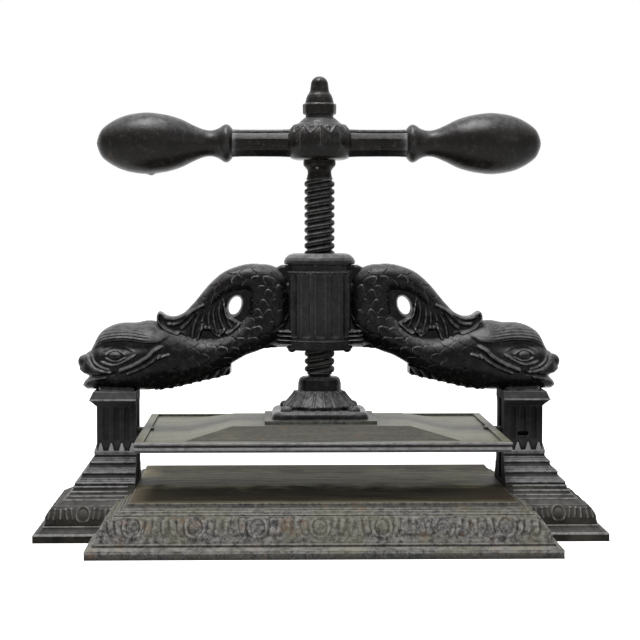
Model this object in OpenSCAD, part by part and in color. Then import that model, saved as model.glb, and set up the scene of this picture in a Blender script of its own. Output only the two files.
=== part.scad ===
// Copying press: a cast base with two wings and two columns carries an arch of two dolphins.
// A two-start screw with a weighted handle drives the platen down on the bed.
// Millimetres. Origin at the centre of the resting face, +X right, +Z up, front at -Y.

/* [Base] */
// Width of the flat bed
bed_w = 314; // [296:1:334]
// Depth of the flat bed
bed_d = 260; // [236:1:284]
// Thickness of the bed plate
bed_t = 12; // [9:1:15]
// Wall thickness of the skirt and the wings
base_wall = 8; // [6:0.5:9]
// Height of the lip at the bed edge
lip_h = 1.8; // [1.2:0.1:3]
// Width and depth of the small steps between mouldings
quirk = 1.2; // [0.8:0.1:1.6]
// Height of the sloping band under the lip
band_h = 4.8; // [3.6:0.1:6]
// Spread of the sloping band
band_run = 9.5; // [7:0.5:12]
// Height of the egg moulding of the skirt
ovolo_h = 20; // [17:0.5:24]
// Spread of the egg moulding of the skirt
ovolo_run = 14; // [11:0.5:17]
// Bulge of the egg moulding
ovolo_bulge = 1.6; // [0.8:0.1:2.4]
// Rise of the eggs on the skirt moulding
egg_rise = 1.6; // [1:0.1:2.2]
// Rise of the leaves beside the eggs
leaf_rise = 1.2; // [0.8:0.1:1.6]
// Height of the strip under the egg moulding
strip_h = 2.6; // [2:0.1:4]
// Height of the slope above the plinth
slope_h = 2.2; // [1.5:0.1:4]
// Spread of the slope above the plinth
slope_run = 5.9; // [4:0.1:8]
// Height of the plinth
plinth_h = 7; // [5:0.5:9]
// Thickness of each rib under the bed
rib_t = 7; // [5:0.5:9]
// Distance of each rib from the middle
rib_x = 58; // [50:1:66]
// Gap between a rib and the table
rib_lift = 8; // [6:1:12]

/* [Wings] */
// Height of the upper hollow of a wing
wing_hollow_h = 15; // [13:0.5:17]
// Spread of the upper hollow of a wing
wing_hollow_run = 15; // [13:0.5:17]
// Height of the egg moulding of a wing
wing_ovolo_h = 16.5; // [14.5:0.5:18]
// Spread of the egg moulding of a wing
wing_ovolo_run = 9; // [7.5:0.1:10.5]
// Height of the lower hollow of a wing
wing_cove_h = 5; // [4:0.5:6.5]
// Spread of the lower hollow of a wing
wing_cove_run = 6.5; // [5:0.1:8]
// Height of the plinth of a wing
wing_plinth_h = 7.5; // [6:0.5:9]
// Spread of the plinth beyond the lower hollow
wing_plinth_run = 2; // [1.5:0.1:3]
// Thickness of the wing plate that a column stands on
wing_t = 10; // [8:1:12]
// Depth of the curve of a wing's upper hollow
wing_hollow_sag = 2.2; // [1.4:0.1:3]
// Bulge of a wing's egg moulding
wing_bulge = 1.4; // [0.8:0.1:2]
// Depth of the curve of a wing's lower hollow
wing_cove_sag = 1; // [0.5:0.1:1.6]

/* [Columns] */
// Width of a column shaft
column_w = 33.5; // [31:0.5:37]
// Depth of a column shaft
column_d = 50; // [46:0.5:56]
// Height of the stepped foot
foot_h = 24.6; // [22.5:0.3:27]
// Spread of the stepped foot
foot_run = 17.4; // [15:0.3:19.5]
// Depth of the curve of each step of the foot
step_sag = 0.7; // [0.3:0.1:1.2]
// Height of the ring between foot and shaft
astragal_h = 3; // [2:0.1:4]
// Spread of the ring between foot and shaft
astragal_run = 1.6; // [1:0.1:2.4]
// Height of the plain shaft
shaft_h = 38; // [35:0.5:48]
// Height of the capital's undercut
undercut_h = 5.6; // [4.5:0.1:7]
// Height of the capital's upper slope
capital_h = 6.8; // [5.5:0.1:8]
// Spread of the capital at its edge
capital_run = 6; // [5:0.5:8]
// How far the capital's slope draws back at the top
capital_back = 3; // [2:0.1:4]
// Radius of a flute
flute_r = 3.2; // [2.6:0.1:3.6]
// Depth of a flute
flute_depth = 2; // [1.4:0.1:2.4]
// Spacing of the flutes
flute_pitch = 9; // [8.2:0.1:10]
// Plain length of the shaft above and below the flutes
flute_margin = 3; // [2:0.1:5]
// Width of the guide groove in a column's inner face
groove_w = 15; // [12:0.5:18]
// Depth of the guide groove
groove_depth = 6; // [4.5:0.1:7]
// Width of the slot in the front of the right column
slot_w = 10; // [7:0.5:11]
// Height of that slot
slot_h = 4.4; // [3.4:0.1:5.4]
// Depth of that slot
slot_depth = 9; // [6:0.5:11]
// Height of that slot above the column's foot
slot_z = 41.5; // [38:0.5:46]

/* [Tie bolts] */
// Radius of a tie bolt
bolt_r = 6; // [5:0.1:6.5]
// Width across the flats of a bolt head
bolt_flats = 19; // [17:0.5:21]
// Height of a bolt head
bolt_head_h = 8; // [6:0.5:9]
// Length of bolt in the arch
bolt_grip = 18; // [14:0.5:21]
// Radius of a tie washer
tie_washer_r = 13; // [12:0.5:14]
// Thickness of a tie washer
tie_washer_t = 2.5; // [2:0.1:3.5]

/* [Arch] */
// Height of a dolphin's back above the column tops
dolphin_h = 107; // [102:0.5:112]
// Height of the boss above the column tops
boss_lift = 41; // [38:0.5:46]
// Radius of the boss
boss_r = 28.6; // [27.5:0.1:31]
// Height of the fluted part of the boss
boss_h = 61; // [57:0.5:66]
// Number of flutes round the boss
boss_flutes = 14; // [12:1:16]
// Height of the neck between boss and cap
neck_h = 6.5; // [5:0.5:8]
// Depth of that neck
neck_depth = 2.6; // [1.6:0.1:3.6]
// Height of the cap
cap_h = 9; // [7:0.5:11]
// Spread of the cap beyond the boss
cap_run = 1.8; // [1:0.1:3]
// Height of the cap's upright edge
cap_edge_h = 1.6; // [1:0.1:2.4]
// Bevel round the cap's flat top
cap_bevel = 2; // [1:0.1:3]
// Radius of the cap's flat top
cap_top_r = 22.5; // [20.5:0.1:25]
// Half width of the chin that seats on a capital
chin_half = 24; // [20:0.5:27]
// Height of the chin block
chin_h = 16; // [13:0.5:19]
// Radius of an eyeball
eye_r = 5.2; // [4.4:0.1:6]
// Half thickness of the tail fan
fan_half = 11; // [9:0.5:12]
// Step from the leaves of the fan down to the ground between them
fan_step = 2; // [1:0.5:3]
// Half thickness of the belly fin
fin_half = 5; // [4:0.5:7]
// Distance of an eyeball's middle from the arch's middle plane
eye_depth = 21.4; // [19:0.1:22.4]
// Half thickness of the gusset between a dolphin and the boss
gusset_half = 9; // [7:0.5:12]
// Half thickness of the strap between a dolphin and the boss
strap_half = 6; // [5:0.5:8]

/* [Screw and nut] */
// Radius over the thread crests
thread_r = 13; // [12.2:0.1:13.6]
// Height of the platen above the bed in the pose shown
open_h = 40; // [36:1:42]
// Radius of the journal in the socket
journal_r = 9.6; // [8.8:0.1:10.4]
// Length of the journal above the thrust head
journal_h = 25; // [23:0.5:27]
// Radius of the thrust head
thrust_r = 16; // [14.5:0.1:16.5]
// Height of the thrust head
thrust_h = 10; // [8:0.5:11]
// Length of the threaded part
thread_h = 170; // [164:1:176]
// Radius of the neck above the thread
screw_neck_r = 10.3; // [9.6:0.1:11]
// Height of the neck above the thread
screw_neck_h = 9.6; // [8:0.1:11]
// Height of the taper at each end of that neck
screw_taper = 3; // [2:0.1:3.8]
// Radius of the collar under the handle
collar_r = 13.9; // [13.2:0.1:14.6]
// Height of the collar under the handle
collar_h = 5; // [4:0.5:7]
// Width of the square that drives the handle
square_w = 16; // [14:0.5:17]
// Radius of the stud for the finial nut
stud_r = 5.2; // [4.4:0.1:5.6]
// Length of the stud above the washer
stud_h = 17; // [13:0.5:20]
// Radius of the nut's bush
bush_r = 19; // [18:0.1:20]
// Length of the nut's bush above its flange
bush_h = 56; // [50:0.5:58]
// Thickness of the nut's flange
nut_flange_t = 6.5; // [5.5:0.1:7.5]
// Bevel round the nut's flange
nut_bevel = 1.6; // [1:0.1:2.2]
// Distance of a nut screw from the axis
nut_screw_at = 23.8; // [23.2:0.1:24.2]
// Radius of a nut screw
nut_screw_r = 2; // [1.6:0.1:2.3]
// Length of nut screw in the boss
nut_screw_grip = 9; // [7:0.5:12]
// Radius of a nut screw's head
nut_head_r = 3.8; // [3.2:0.1:4]
// Height of a nut screw's head
nut_head_h = 2.6; // [2:0.1:3]

/* [Handle] */
// Radius of the hub
hub_r = 27; // [25:0.5:29]
// How far the hub draws in at its top
hub_taper = 2; // [1:0.5:3.5]
// Bulge of the hub's round part
hub_bulge = 2; // [1:0.1:3]
// Height of the hub's lower bevel
hub_bevel_h = 3; // [2:0.5:4]
// Height of the hub's round part
hub_round_h = 21.5; // [19.5:0.1:24]
// Height of the hub's dome
hub_dome_h = 6; // [5:0.1:7]
// Height of the hub's upper ring
hub_ring_h = 5.9; // [5:0.1:7]
// Radius of the hub's upper ring
hub_ring_r = 17.6; // [16:0.1:19]
// How far that ring draws in at its top
hub_ring_run = 4; // [3:0.1:5]
// Height of an arm
arm_h = 22; // [20:0.1:23]
// Height of the arms' middle above the hub's bottom
arm_lift = 14.4; // [13:0.1:15.5]
// Depth of an arm
arm_d = 20; // [18:0.5:23]
// Bevel along the edges of an arm
arm_bevel = 5.4; // [4:0.1:6]
// Reach of an arm to its ring
arm_reach = 76; // [68:0.5:84]
// Radius of the ring at the end of an arm
ring_r = 16.4; // [14.5:0.1:18]
// Bulge of that ring
ring_bulge = 2.4; // [1.6:0.1:3]
// Width of the ring
ring_w = 8.4; // [7:0.1:10]
// Radius of the neck between ring and bulb
grip_neck_r = 11.2; // [10:0.1:12]
// Length of a bulb beyond its ring
grip_l = 107; // [96:1:116]
// Greatest radius of a bulb
grip_r = 26.4; // [24:0.1:29]

/* [Finial nut and washer] */
// Radius of the handle washer
handle_washer_r = 12; // [11:0.1:13]
// Thickness of the handle washer
handle_washer_t = 4.4; // [3.4:0.1:5.4]
// Radius of the finial's base ring
finial_r = 14; // [13.4:0.1:15]
// Height of the finial's base ring
finial_ring_h = 7.8; // [7:0.1:9]
// Radius of the finial's shoulder
finial_shoulder_r = 12.2; // [11.4:0.1:13]
// Height of the finial's shoulder
finial_shoulder_h = 8.4; // [6.5:0.1:9.5]
// Radius of the finial's dome
finial_dome_r = 6.8; // [6.4:0.1:7.4]
// Height of the finial's straight part
finial_dome_h = 8.2; // [6:0.1:9]
// Bevel round the finial's base
finial_bevel = 1.4; // [0.8:0.1:2]
// Taper of the finial's straight part
finial_taper = 1.2; // [0.6:0.1:1.8]

/* [Platen and socket] */
// Gap between an end of the platen and a column
platen_gap = 4.5; // [3:0.1:6]
// How far the platen's front and back stay inside the bed
platen_inset = 3; // [1:0.5:10]
// Height of the platen's moulded edge
platen_edge_h = 8.4; // [7:0.1:10]
// Height of each bead of the platen's edge
bead_h = 2.2; // [1.6:0.1:2.8]
// Depth of the hollow between those beads
bead_depth = 2.2; // [1.4:0.1:3]
// Width of the raised rim
rim_w = 7; // [5:0.5:9]
// Drop of the plate inside the rim
rim_drop = 2; // [1.4:0.1:3]
// Flat margin inside the rim at the ends
margin_x = 32; // [26:1:38]
// Flat margin inside the rim at front and back
margin_y = 22; // [18:1:26]
// Run of the slope up to the middle
rise_run = 39; // [34:1:44]
// Height of the slope
rise_h = 8.6; // [7:0.1:10]
// Width of the pad under the socket
pad_w = 95; // [90:0.5:102]
// Height of that pad
pad_h = 3; // [2:0.1:4]
// Width of the socket's square flange
socket_w = 82; // [79:0.5:86]
// Corner radius of that flange
socket_corner = 13; // [11:0.5:15]
// Thickness of that flange
socket_t = 6.6; // [5.5:0.1:8]
// Rounding of that flange's upper edge
cushion_r = 5; // [3.5:0.1:5.4]
// Bottom radius of the socket's dome
dome_r = 34; // [33:0.1:35]
// Height of the socket's dome
dome_h = 15; // [13.5:0.1:17]
// Hollow of the dome's side
dome_sag = 2.4; // [1.4:0.1:3.4]
// Step from the dome to the collar
dome_step = 2; // [1.2:0.1:2.8]
// Radius of the socket's collar
socket_collar_r = 18.6; // [18:0.1:20]
// Height of the socket's collar
socket_collar_h = 11.6; // [10:0.1:13]
// Rounding of the collar's top edge
socket_round = 4; // [3:0.1:5]
// Distance of a socket screw from the middle, both ways
socket_screw_at = 29; // [28.4:0.1:30]
// Radius of a socket screw
socket_screw_r = 2.5; // [2:0.1:2.8]
// Length of socket screw in the platen
socket_screw_grip = 8; // [6:0.5:9]
// Radius of a socket screw's head
socket_head_r = 4.8; // [4:0.1:5.2]
// Height of a socket screw's head
socket_head_h = 3.2; // [2.4:0.1:4]
// Radius of the thrust pad
pad_disc_r = 15; // [13.5:0.1:15.5]
// Thickness of the thrust pad
pad_disc_t = 5; // [4:0.1:6]
// Depth of the thrust pad's seat in the platen
pad_disc_seat = 4; // [3:0.1:4.4]
// Width of a guide lug
lug_w = 14; // [11:0.5:17]
// Height of a guide lug
lug_h = 5; // [4:0.1:5.6]
// Reach of a guide lug into its groove
lug_reach = 4.4; // [3:0.1:5]

/* [Clearances] */
// Clearance of a piece that slides or turns
run_gap = 0.3; // [0.2:0.05:0.6]
// Clearance of a journal in its bore
journal_gap = 0.1; // [0.08:0.01:0.2]
// Clearance of a fixed bolt, screw or bush in its hole
fit_gap = 0.1; // [0.05:0.01:0.2]

/* [Hidden] */
$fn = 64;
iron = [0.14, 0.14, 0.15];
worn_iron = [0.34, 0.35, 0.31];
bright_steel = [0.42, 0.42, 0.43];
gunmetal = [0.36, 0.31, 0.22];

// Overshoot of a cutting shape
over = 1;
// Small bevel that breaks an edge
ease = 0.6;

// Heights, from the table up
strip_z = plinth_h + slope_h;
ovolo_z = strip_z + strip_h;
bed_z = ovolo_z + ovolo_h + quirk + band_h + quirk + lip_h;
wing_cove_z = wing_plinth_h + wing_cove_h;
wing_ovolo_z = wing_cove_z + wing_ovolo_h;
wing_z = wing_ovolo_z + wing_hollow_h;
shaft_z = foot_h + astragal_h;
column_h = shaft_z + shaft_h + undercut_h + capital_h;
column_z = wing_z + column_h;
boss_z = column_z + boss_lift;
cap_z = boss_z + boss_h + neck_h;
platen_z = bed_z + open_h;
plate_z = platen_z + platen_edge_h - rim_drop;
pad_z = plate_z + rise_h;
platen_top = pad_z + pad_h;
disc_top = platen_top - pad_disc_seat + pad_disc_t;
thrust_z = disc_top + run_gap;
shoulder_z = thrust_z + thrust_h + run_gap;
thread_z = thrust_z + thrust_h + journal_h;
screw_neck_z = thread_z + thread_h;
collar_z = screw_neck_z + screw_neck_h;
hub_z = collar_z + collar_h;
hub_h = hub_bevel_h + hub_round_h + hub_dome_h + hub_ring_h;
arm_z = hub_z + arm_lift;
washer_z = hub_z + hub_h;
finial_z = washer_z + handle_washer_t;

// Places across the press
platen_w = bed_w - 2 * platen_gap;
platen_d = bed_d - 2 * platen_inset;
column_in = bed_w / 2;
column_out = column_in + column_w;
column_mid = column_in + column_w / 2;
skirt_run = quirk + band_run + quirk + ovolo_run + quirk + slope_run;
wing_run = wing_hollow_run + wing_ovolo_run + wing_cove_run + wing_plinth_run;
foot_out = column_out + foot_run;
foot_half_d = column_d / 2 + foot_run;

// Points of a shallow arc from p to q that bulges to the left of the way by sag
function bowed(p, q, sag, steps = 6) =
    let (way = q - p, left = [-way[1], way[0]] / norm(way))
    [for (i = [0 : steps]) let (t = i / steps) p + way * t + left * (4 * sag * t * (1 - t))];

// Value of a list of rows at position t, smooth through every row
function smooth(rows, t) =
    let (last = len(rows) - 1, i = min(floor(t), last - 1), f = t - i,
        a = rows[max(i - 1, 0)], b = rows[i], c = rows[i + 1], d = rows[min(i + 2, last)])
    0.5 * (2 * b + (c - a) * f + (2 * a - 5 * b + 4 * c - d) * f * f
        + (3 * b - a - 3 * c + d) * f * f * f);

// Profiles hold [spread, height] from the top edge down to the ground

// Moulded skirt of the bed
skirt_profile = let (top = ovolo_z + ovolo_h, mid = quirk + band_run) concat(
    [[0, bed_z], [0, bed_z - lip_h], [quirk, bed_z - lip_h - quirk],
        [mid, top + quirk], [mid, top]],
    bowed([mid + quirk, top], [mid + quirk + ovolo_run, ovolo_z], ovolo_bulge),
    [[skirt_run - slope_run, ovolo_z], [skirt_run - slope_run, strip_z],
        [skirt_run, plinth_h], [skirt_run, 0]]);

// Eggs and leaves of the skirt. The front row stands a little left of the middle.
egg_pitch = 0.157 * bed_w;
egg_shift = 0.0115 * bed_w;
eggs_each_way = 3;
egg_sides = 8;
egg_half_w = 0.106 * egg_pitch;
moulding_l = norm([ovolo_run, ovolo_h]);
egg_half_h = 0.29 * moulding_l;
egg_y = 0.555 * moulding_l;

// Leaves on one side of an egg, the innermost first: foot, head and half width,
// across in shares of the pitch, up in shares of the moulding's width
leaf_rows = [[0.126, 0.18, 0.166, 0.86, 0.055], [0.227, 0.13, 0.272, 0.88, 0.118],
    [0.341, 0.12, 0.385, 0.84, 0.118]];
dart_row = [0.5, 0.10, 0.5, 0.89, 0.079];

// Hollow inside the skirt, one wall thickness in
skirt_slope = atan2(ovolo_run, ovolo_h);
skirt_wall = base_wall / cos(skirt_slope);
hollow_top = bed_z - bed_t;
skirt_hollow = let (start = quirk + band_run + quirk)
    [[start + (ovolo_z + ovolo_h - hollow_top) * tan(skirt_slope) - skirt_wall, hollow_top],
        [start + ovolo_run - skirt_wall, ovolo_z],
        [skirt_run - base_wall, plinth_h], [skirt_run - base_wall, -over]];

// Moulded side of a wing
wing_profile = concat(
    bowed([0, wing_z], [wing_hollow_run, wing_ovolo_z], -wing_hollow_sag),
    bowed([wing_hollow_run + quirk / 2, wing_ovolo_z],
        [wing_hollow_run + wing_ovolo_run, wing_cove_z], wing_bulge),
    bowed([wing_hollow_run + wing_ovolo_run + quirk / 2, wing_cove_z],
        [wing_run - wing_plinth_run, wing_plinth_h], -wing_cove_sag),
    [[wing_run, wing_plinth_h - quirk], [wing_run, 0]]);

// Hollow inside a wing
wing_hollow = [[-base_wall / 2, wing_z - wing_t],
    [wing_hollow_run + wing_ovolo_run - base_wall, wing_cove_z],
    [wing_run - base_wall, wing_plinth_h], [wing_run - base_wall, -over]];

// Side of a column: capital, shaft, ring and a foot of three coved steps
foot_steps = 3;
step_h = foot_h / foot_steps;
step_run = foot_run / foot_steps;
column_profile = let (neck = column_h - capital_h - undercut_h) concat(
    [[capital_run - capital_back, column_h], [capital_run, column_h - capital_h],
        [0, neck], [0, shaft_z], [astragal_run, shaft_z], [astragal_run, foot_h]],
    [for (i = [0 : foot_steps - 1], p = concat(
        bowed([i * step_run + (i == 0 ? astragal_run : 0), foot_h - i * step_h],
            [(i + 1) * step_run - quirk, foot_h - (i + 1) * step_h + 2 * quirk], -step_sag, 4),
        [[(i + 1) * step_run, foot_h - (i + 1) * step_h + 2 * quirk],
            [(i + 1) * step_run, foot_h - (i + 1) * step_h]])) p]);

// Block with the same moulding on all four sides
module moulded_block(half_x, half_y, profile) {
    reach = max([for (p = profile) p[0]]);
    intersection() {
        rotate([90, 0, 0])
            linear_extrude(2 * (half_y + reach), center = true)
                polygon(both_sides(half_x, profile));
        rotate([90, 0, 90])
            linear_extrude(2 * (half_x + reach), center = true)
                polygon(both_sides(half_y, profile));
    }
}

function both_sides(half, profile) = concat(
    [for (p = profile) [half + p[0], p[1]]],
    [for (i = [len(profile) - 1 : -1 : 0]) [-half - profile[i][0], profile[i][1]]]);

// Block with a plain inner face and the moulding on its three other sides
module wall_block(x_in, x_out, half_y, profile) {
    reach = max([for (p = profile) p[0]]);
    last = len(profile) - 1;
    intersection() {
        rotate([90, 0, 0])
            linear_extrude(2 * (half_y + reach), center = true)
                polygon(concat([[x_in, profile[last][1]], [x_in, profile[0][1]]],
                    [for (p = profile) [x_out + p[0], p[1]]]));
        translate([x_in, 0, 0])
            rotate([90, 0, 90])
                linear_extrude(x_out + reach - x_in)
                    polygon(both_sides(half_y, profile));
    }
}

module both_ends() {
    children();
    mirror([1, 0, 0])
        children();
}

// Base: bed and skirt in one hollow casting with two ribs, open to the wings
module base_casting() {
    color(worn_iron) {
        difference() {
            moulded_block(bed_w / 2, bed_d / 2, skirt_profile);
            moulded_block(bed_w / 2, bed_d / 2, skirt_hollow);
            both_ends()
                wall_block(column_in, foot_out, foot_half_d, wing_hollow);
        }
        for (x = [-rib_x, rib_x])
            bed_rib(x);
        for (turn = [0, 180])
            rotate([0, 0, turn])
                egg_row();
        for (turn = [90, 270], side = [-2, 2])
            rotate([0, 0, turn])
                on_moulding(bed_w / 2, side * egg_pitch)
                    egg_unit([0 : 2], [0 : 2]);
    }
}

// Row of eggs along the front
module egg_row() {
    for (i = [-eggs_each_way : eggs_each_way])
        on_moulding(bed_d / 2, i * egg_pitch - egg_shift)
            egg_unit(i > -eggs_each_way ? [0 : 2] : [0 : 1], i < eggs_each_way ? [0 : 2] : [0 : 1]);
    for (i = [-eggs_each_way : eggs_each_way - 1])
        on_moulding(bed_d / 2, i * egg_pitch - egg_shift)
            leaf(dart_row);
}

// Puts a piece on the front moulding of a block: x along it, y up it, z out of it
module on_moulding(half_y, x) {
    translate([x, -half_y - skirt_run + slope_run + quirk, ovolo_z])
        rotate([90 - skirt_slope, 0, 0])
            children();
}

// Egg with leaves to its left and to its right
module egg_unit(left, right) {
    egg();
    for (i = right)
        leaf(leaf_rows[i]);
    for (i = left)
        mirror([1, 0, 0])
            leaf(leaf_rows[i]);
}

// Egg with bevelled sides and a flat top; its foot lies inside the moulding
module egg() {
    points = [for (level = [[1.4, 0], [0.5, ovolo_bulge + egg_rise]], k = [0 : egg_sides - 1])
        let (a = 360 * (k + 0.5) / egg_sides)
        [level[0] * egg_half_w * cos(a), egg_y + level[0] * egg_half_h * sin(a), level[1]]];
    polyhedron(points = points, faces = concat(
        [[for (k = [0 : egg_sides - 1]) k], [for (k = [egg_sides - 1 : -1 : 0]) egg_sides + k]],
        [for (k = [0 : egg_sides - 1]) let (n = (k + 1) % egg_sides)
            [n, k, egg_sides + k, egg_sides + n]]));
}

// Leaf with a straight crest; its foot lies inside the moulding
module leaf(row) {
    foot = [row[0] * egg_pitch, row[1] * moulding_l];
    head = [row[2] * egg_pitch, row[3] * moulding_l];
    way = head - foot;
    side = [way[1], -way[0]] / norm(way) * row[4] * egg_pitch;
    low = foot + 0.25 * way;
    high = foot + 0.78 * way;
    top = 0.85 * ovolo_bulge + leaf_rise;
    outline = [foot, low + side, high + side, head, high - side, low - side];
    polyhedron(
        points = concat([for (p = outline) [p[0], p[1], 0]],
            [[low[0], low[1], top], [high[0], high[1], top]]),
        faces = [[0, 1, 2, 3, 4, 5], [2, 1, 6, 7], [5, 4, 7, 6], [1, 0, 6], [0, 5, 6],
            [3, 2, 7], [4, 3, 7]]);
}

// Wing of the right side, at its place: a hollow casting fitted round the skirt
module wing_form() {
    difference() {
        wall_block(column_in, foot_out, foot_half_d, wing_profile);
        moulded_block(bed_w / 2, bed_d / 2, skirt_profile);
        wall_block(column_in, foot_out, foot_half_d, wing_hollow);
        translate([column_mid, 0, 0])
            cylinder(h = wing_z + over, r = bolt_r + fit_gap);
    }
}

module left_wing() {
    color(iron)
        mirror([1, 0, 0])
            wing_form();
}

module right_wing() {
    color(iron)
        wing_form();
}

module bed_rib(x) {
    half = bed_d / 2 + ovolo_run;
    translate([x, 0, 0])
        rotate([90, 0, 90])
            linear_extrude(rib_t, center = true)
                polygon([[-half, rib_lift], [half, rib_lift],
                    [bed_d / 2, hollow_top + over], [-bed_d / 2, hollow_top + over]]);
}

// Column of the right side, at its place
module column_form() {
    difference() {
        translate([0, 0, wing_z])
            wall_block(column_in, column_out, column_d / 2, column_profile);
        translate([column_in - over, -groove_w / 2, wing_z - over])
            cube([groove_depth + over, groove_w, column_h - capital_h]);
        translate([column_mid, 0, wing_z - over])
            cylinder(h = column_h + 2 * over, r = bolt_r + fit_gap);
        for (side = [-1, 1], i = [-1 : 1])
            translate([column_mid + i * flute_pitch, side * column_d / 2, 0])
                flute([0, side]);
        for (i = [-2 : 2])
            translate([column_out, i * flute_pitch, 0])
                flute([1, 0]);
    }
}

// Upright flute with a pointed lower end, sunk in a face that looks along out
module flute(out) {
    foot = wing_z + shaft_z + flute_margin;
    top = wing_z + shaft_z + shaft_h - flute_margin;
    point = 2 * flute_r;
    translate(concat(out * (flute_r - flute_depth), 0)) {
        translate([0, 0, foot])
            cylinder(h = point, r1 = flute_r - flute_depth, r2 = flute_r);
        translate([0, 0, foot + point])
            cylinder(h = top - foot - point, r = flute_r);
        translate([0, 0, top])
            sphere(r = flute_r);
    }
}

module left_column() {
    color(iron)
        mirror([1, 0, 0])
            column_form();
}

module right_column() {
    color(iron)
        difference() {
            column_form();
            translate([column_mid, -column_d / 2 - over, wing_z + slot_z])
                rotate([-90, 0, 0])
                    linear_extrude(slot_depth + over)
                        slot_outline();
        }
}

module slot_outline() {
    run = slot_w - slot_h;
    square([run, slot_h], center = true);
    for (side = [-1, 1])
        translate([side * run / 2, 0])
            circle(d = slot_h);
}

// Body of the left dolphin from nose to tail. Each row holds the place along the
// span from boss (0) to column (1), the height above the column top, the half
// height across the body, the half thickness, and how upright its section stands:
// 1 for upright, 0 for square to the spine. Heights and sizes of the dolphin are
// in hundredths of its height.
dolphin_rows = [
    [1.23, 14, 8.4, 6.5, 1], [1.215, 14.7, 11.8, 10.7, 1], [1.185, 15.5, 14.6, 14, 1],
    [1.155, 16.6, 15.9, 16.4, 1], [1.135, 19.1, 18.5, 18.1, 1], [1.10, 23.4, 22.8, 20.6, 1],
    [1.04, 25.9, 25.8, 22.6, 1], [0.97, 27.1, 27.1, 24.3, 1], [0.887, 27.2, 27.3, 25, 1],
    [0.804, 28, 28, 24.9, 1], [0.697, 27.2, 25.5, 23, 0.8], [0.583, 25.5, 21.2, 20.6, 0.5],
    [0.476, 26.3, 17.1, 18.7, 0.2], [0.375, 31.9, 13, 17.4, 0], [0.285, 38.1, 12.1, 16.5, 0],
    [0.208, 46.7, 12.9, 16.2, 0], [0.148, 57.9, 13.8, 15.9, 0], [0.121, 70.5, 15.2, 15.3, 0],
    [0.139, 81.7, 15, 14.6, 0], [0.196, 88.4, 12.5, 13.4, 0], [0.265, 89.2, 10.9, 12.5, 0],
    [0.34, 86.2, 9.7, 11.7, 0], [0.408, 79.8, 8.4, 11.2, 0], [0.464, 72.5, 7.5, 10.9, 0],
    [0.517, 65.4, 6.5, 10.5, 0], [0.58, 58.5, 5.4, 9.7, 0], [0.655, 54.4, 3.7, 8.1, 0]];
dolphin_steps = 2;
dolphin_sides = 16;

function arch_x(share) = -(boss_r + (column_mid - boss_r) * share);

// Rings of points round the spine, each square to it
function body_rings(rows, steps, sides) =
    let (last = (len(rows) - 1) * steps)
    [for (i = [0 : last]) let (
        here = smooth(rows, i / steps),
        before = smooth(rows, max(i - 1, 0) / steps),
        after = smooth(rows, min(i + 1, last) / steps),
        way = arch_point(after) - arch_point(before),
        square = [-way[1], way[0]] / norm(way),
        lean = square * (1 - here[4]) + [0, here[4]],
        up = lean / norm(lean))
        [for (k = [0 : sides - 1]) let (a = 360 * k / sides,
            p = arch_point(here) + up * here[2] * cos(a) * dolphin_h / 100)
            [p[0], here[3] * sin(a) * dolphin_h / 100, p[1]]]];

// Closed skin over a row of rings
module skin(rings) {
    sides = len(rings[0]);
    count = len(rings);
    polyhedron(
        points = [for (ring = rings, p = ring) p],
        faces = concat(
            [[for (k = [sides - 1 : -1 : 0]) k]],
            [for (i = [0 : count - 2], k = [0 : sides - 1]) let (n = (k + 1) % sides)
                [i * sides + k, i * sides + n, (i + 1) * sides + k]],
            [for (i = [0 : count - 2], k = [0 : sides - 1]) let (n = (k + 1) % sides)
                [i * sides + n, (i + 1) * sides + n, (i + 1) * sides + k]],
            [[for (k = [0 : sides - 1]) (count - 1) * sides + k]]));
}

// Place in the arch's own plane from share of the span and height
function arch_point(p) = [arch_x(p[0]), column_z + p[1] * dolphin_h / 100];

// Closed outline through corners in the arch's plane. Each corner holds the place
// and the bulge of the side that leads on to the next corner.
function leaf_outline(corners) = [for (i = [0 : len(corners) - 1])
    let (here = corners[i], next = corners[(i + 1) % len(corners)])
    each bowed(arch_point(here), arch_point(next), here[2] * dolphin_h / 100, 5)];

// Leaves of the tail fan, from the outer leaf round to the loop
fan_leaves = [
    [[0.756, 61.7, -2.2], [0.68, 42.6, -0.9], [0.59, 50.5, 0], [0.50, 65.4, 0], [0.60, 57, 2.4]],
    [[0.50, 67.3, -1.9], [0.56, 37.4, -1.5], [0.48, 41.1, 0.6], [0.44, 69.2, 0]],
    [[0.46, 69.2, -1.5], [0.405, 39.8, -1.3], [0.355, 43.9, 0.7], [0.41, 76.6, 0]],
    [[0.41, 74.8, -2.1], [0.315, 46.2, -1.1], [0.262, 53.3, 2.8], [0.36, 78.5, 0]]];

// Solid ground behind the leaves, between the tail and the body
fan_ground = [[0.60, 54.2, 0], [0.71, 41.1, 0], [0.66, 33.6, 0], [0.50, 29.9, 0],
    [0.36, 35.5, 0], [0.24, 48.6, 0], [0.20, 61.7, 0], [0.18, 82.2, 0], [0.30, 82.2, 0],
    [0.40, 75.7, 0], [0.50, 64.5, 0]];

// Open loop that shows between the fan and the body
loop_middle = [0.304, 67.7];
loop_lean = 22;
loop_long = 14.5 * dolphin_h / 100;
loop_wide = 9.3 * dolphin_h / 100;

module loop_hole() {
    run = loop_long - loop_wide;
    place = arch_point(loop_middle);
    translate([place[0], 0, place[1]])
        rotate([0, loop_lean, 0])
            flat_piece(2 * fan_half) {
                square([loop_wide, run], center = true);
                for (z = [-run / 2, run / 2])
                    translate([0, z])
                        circle(d = loop_wide);
            }
}

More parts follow.
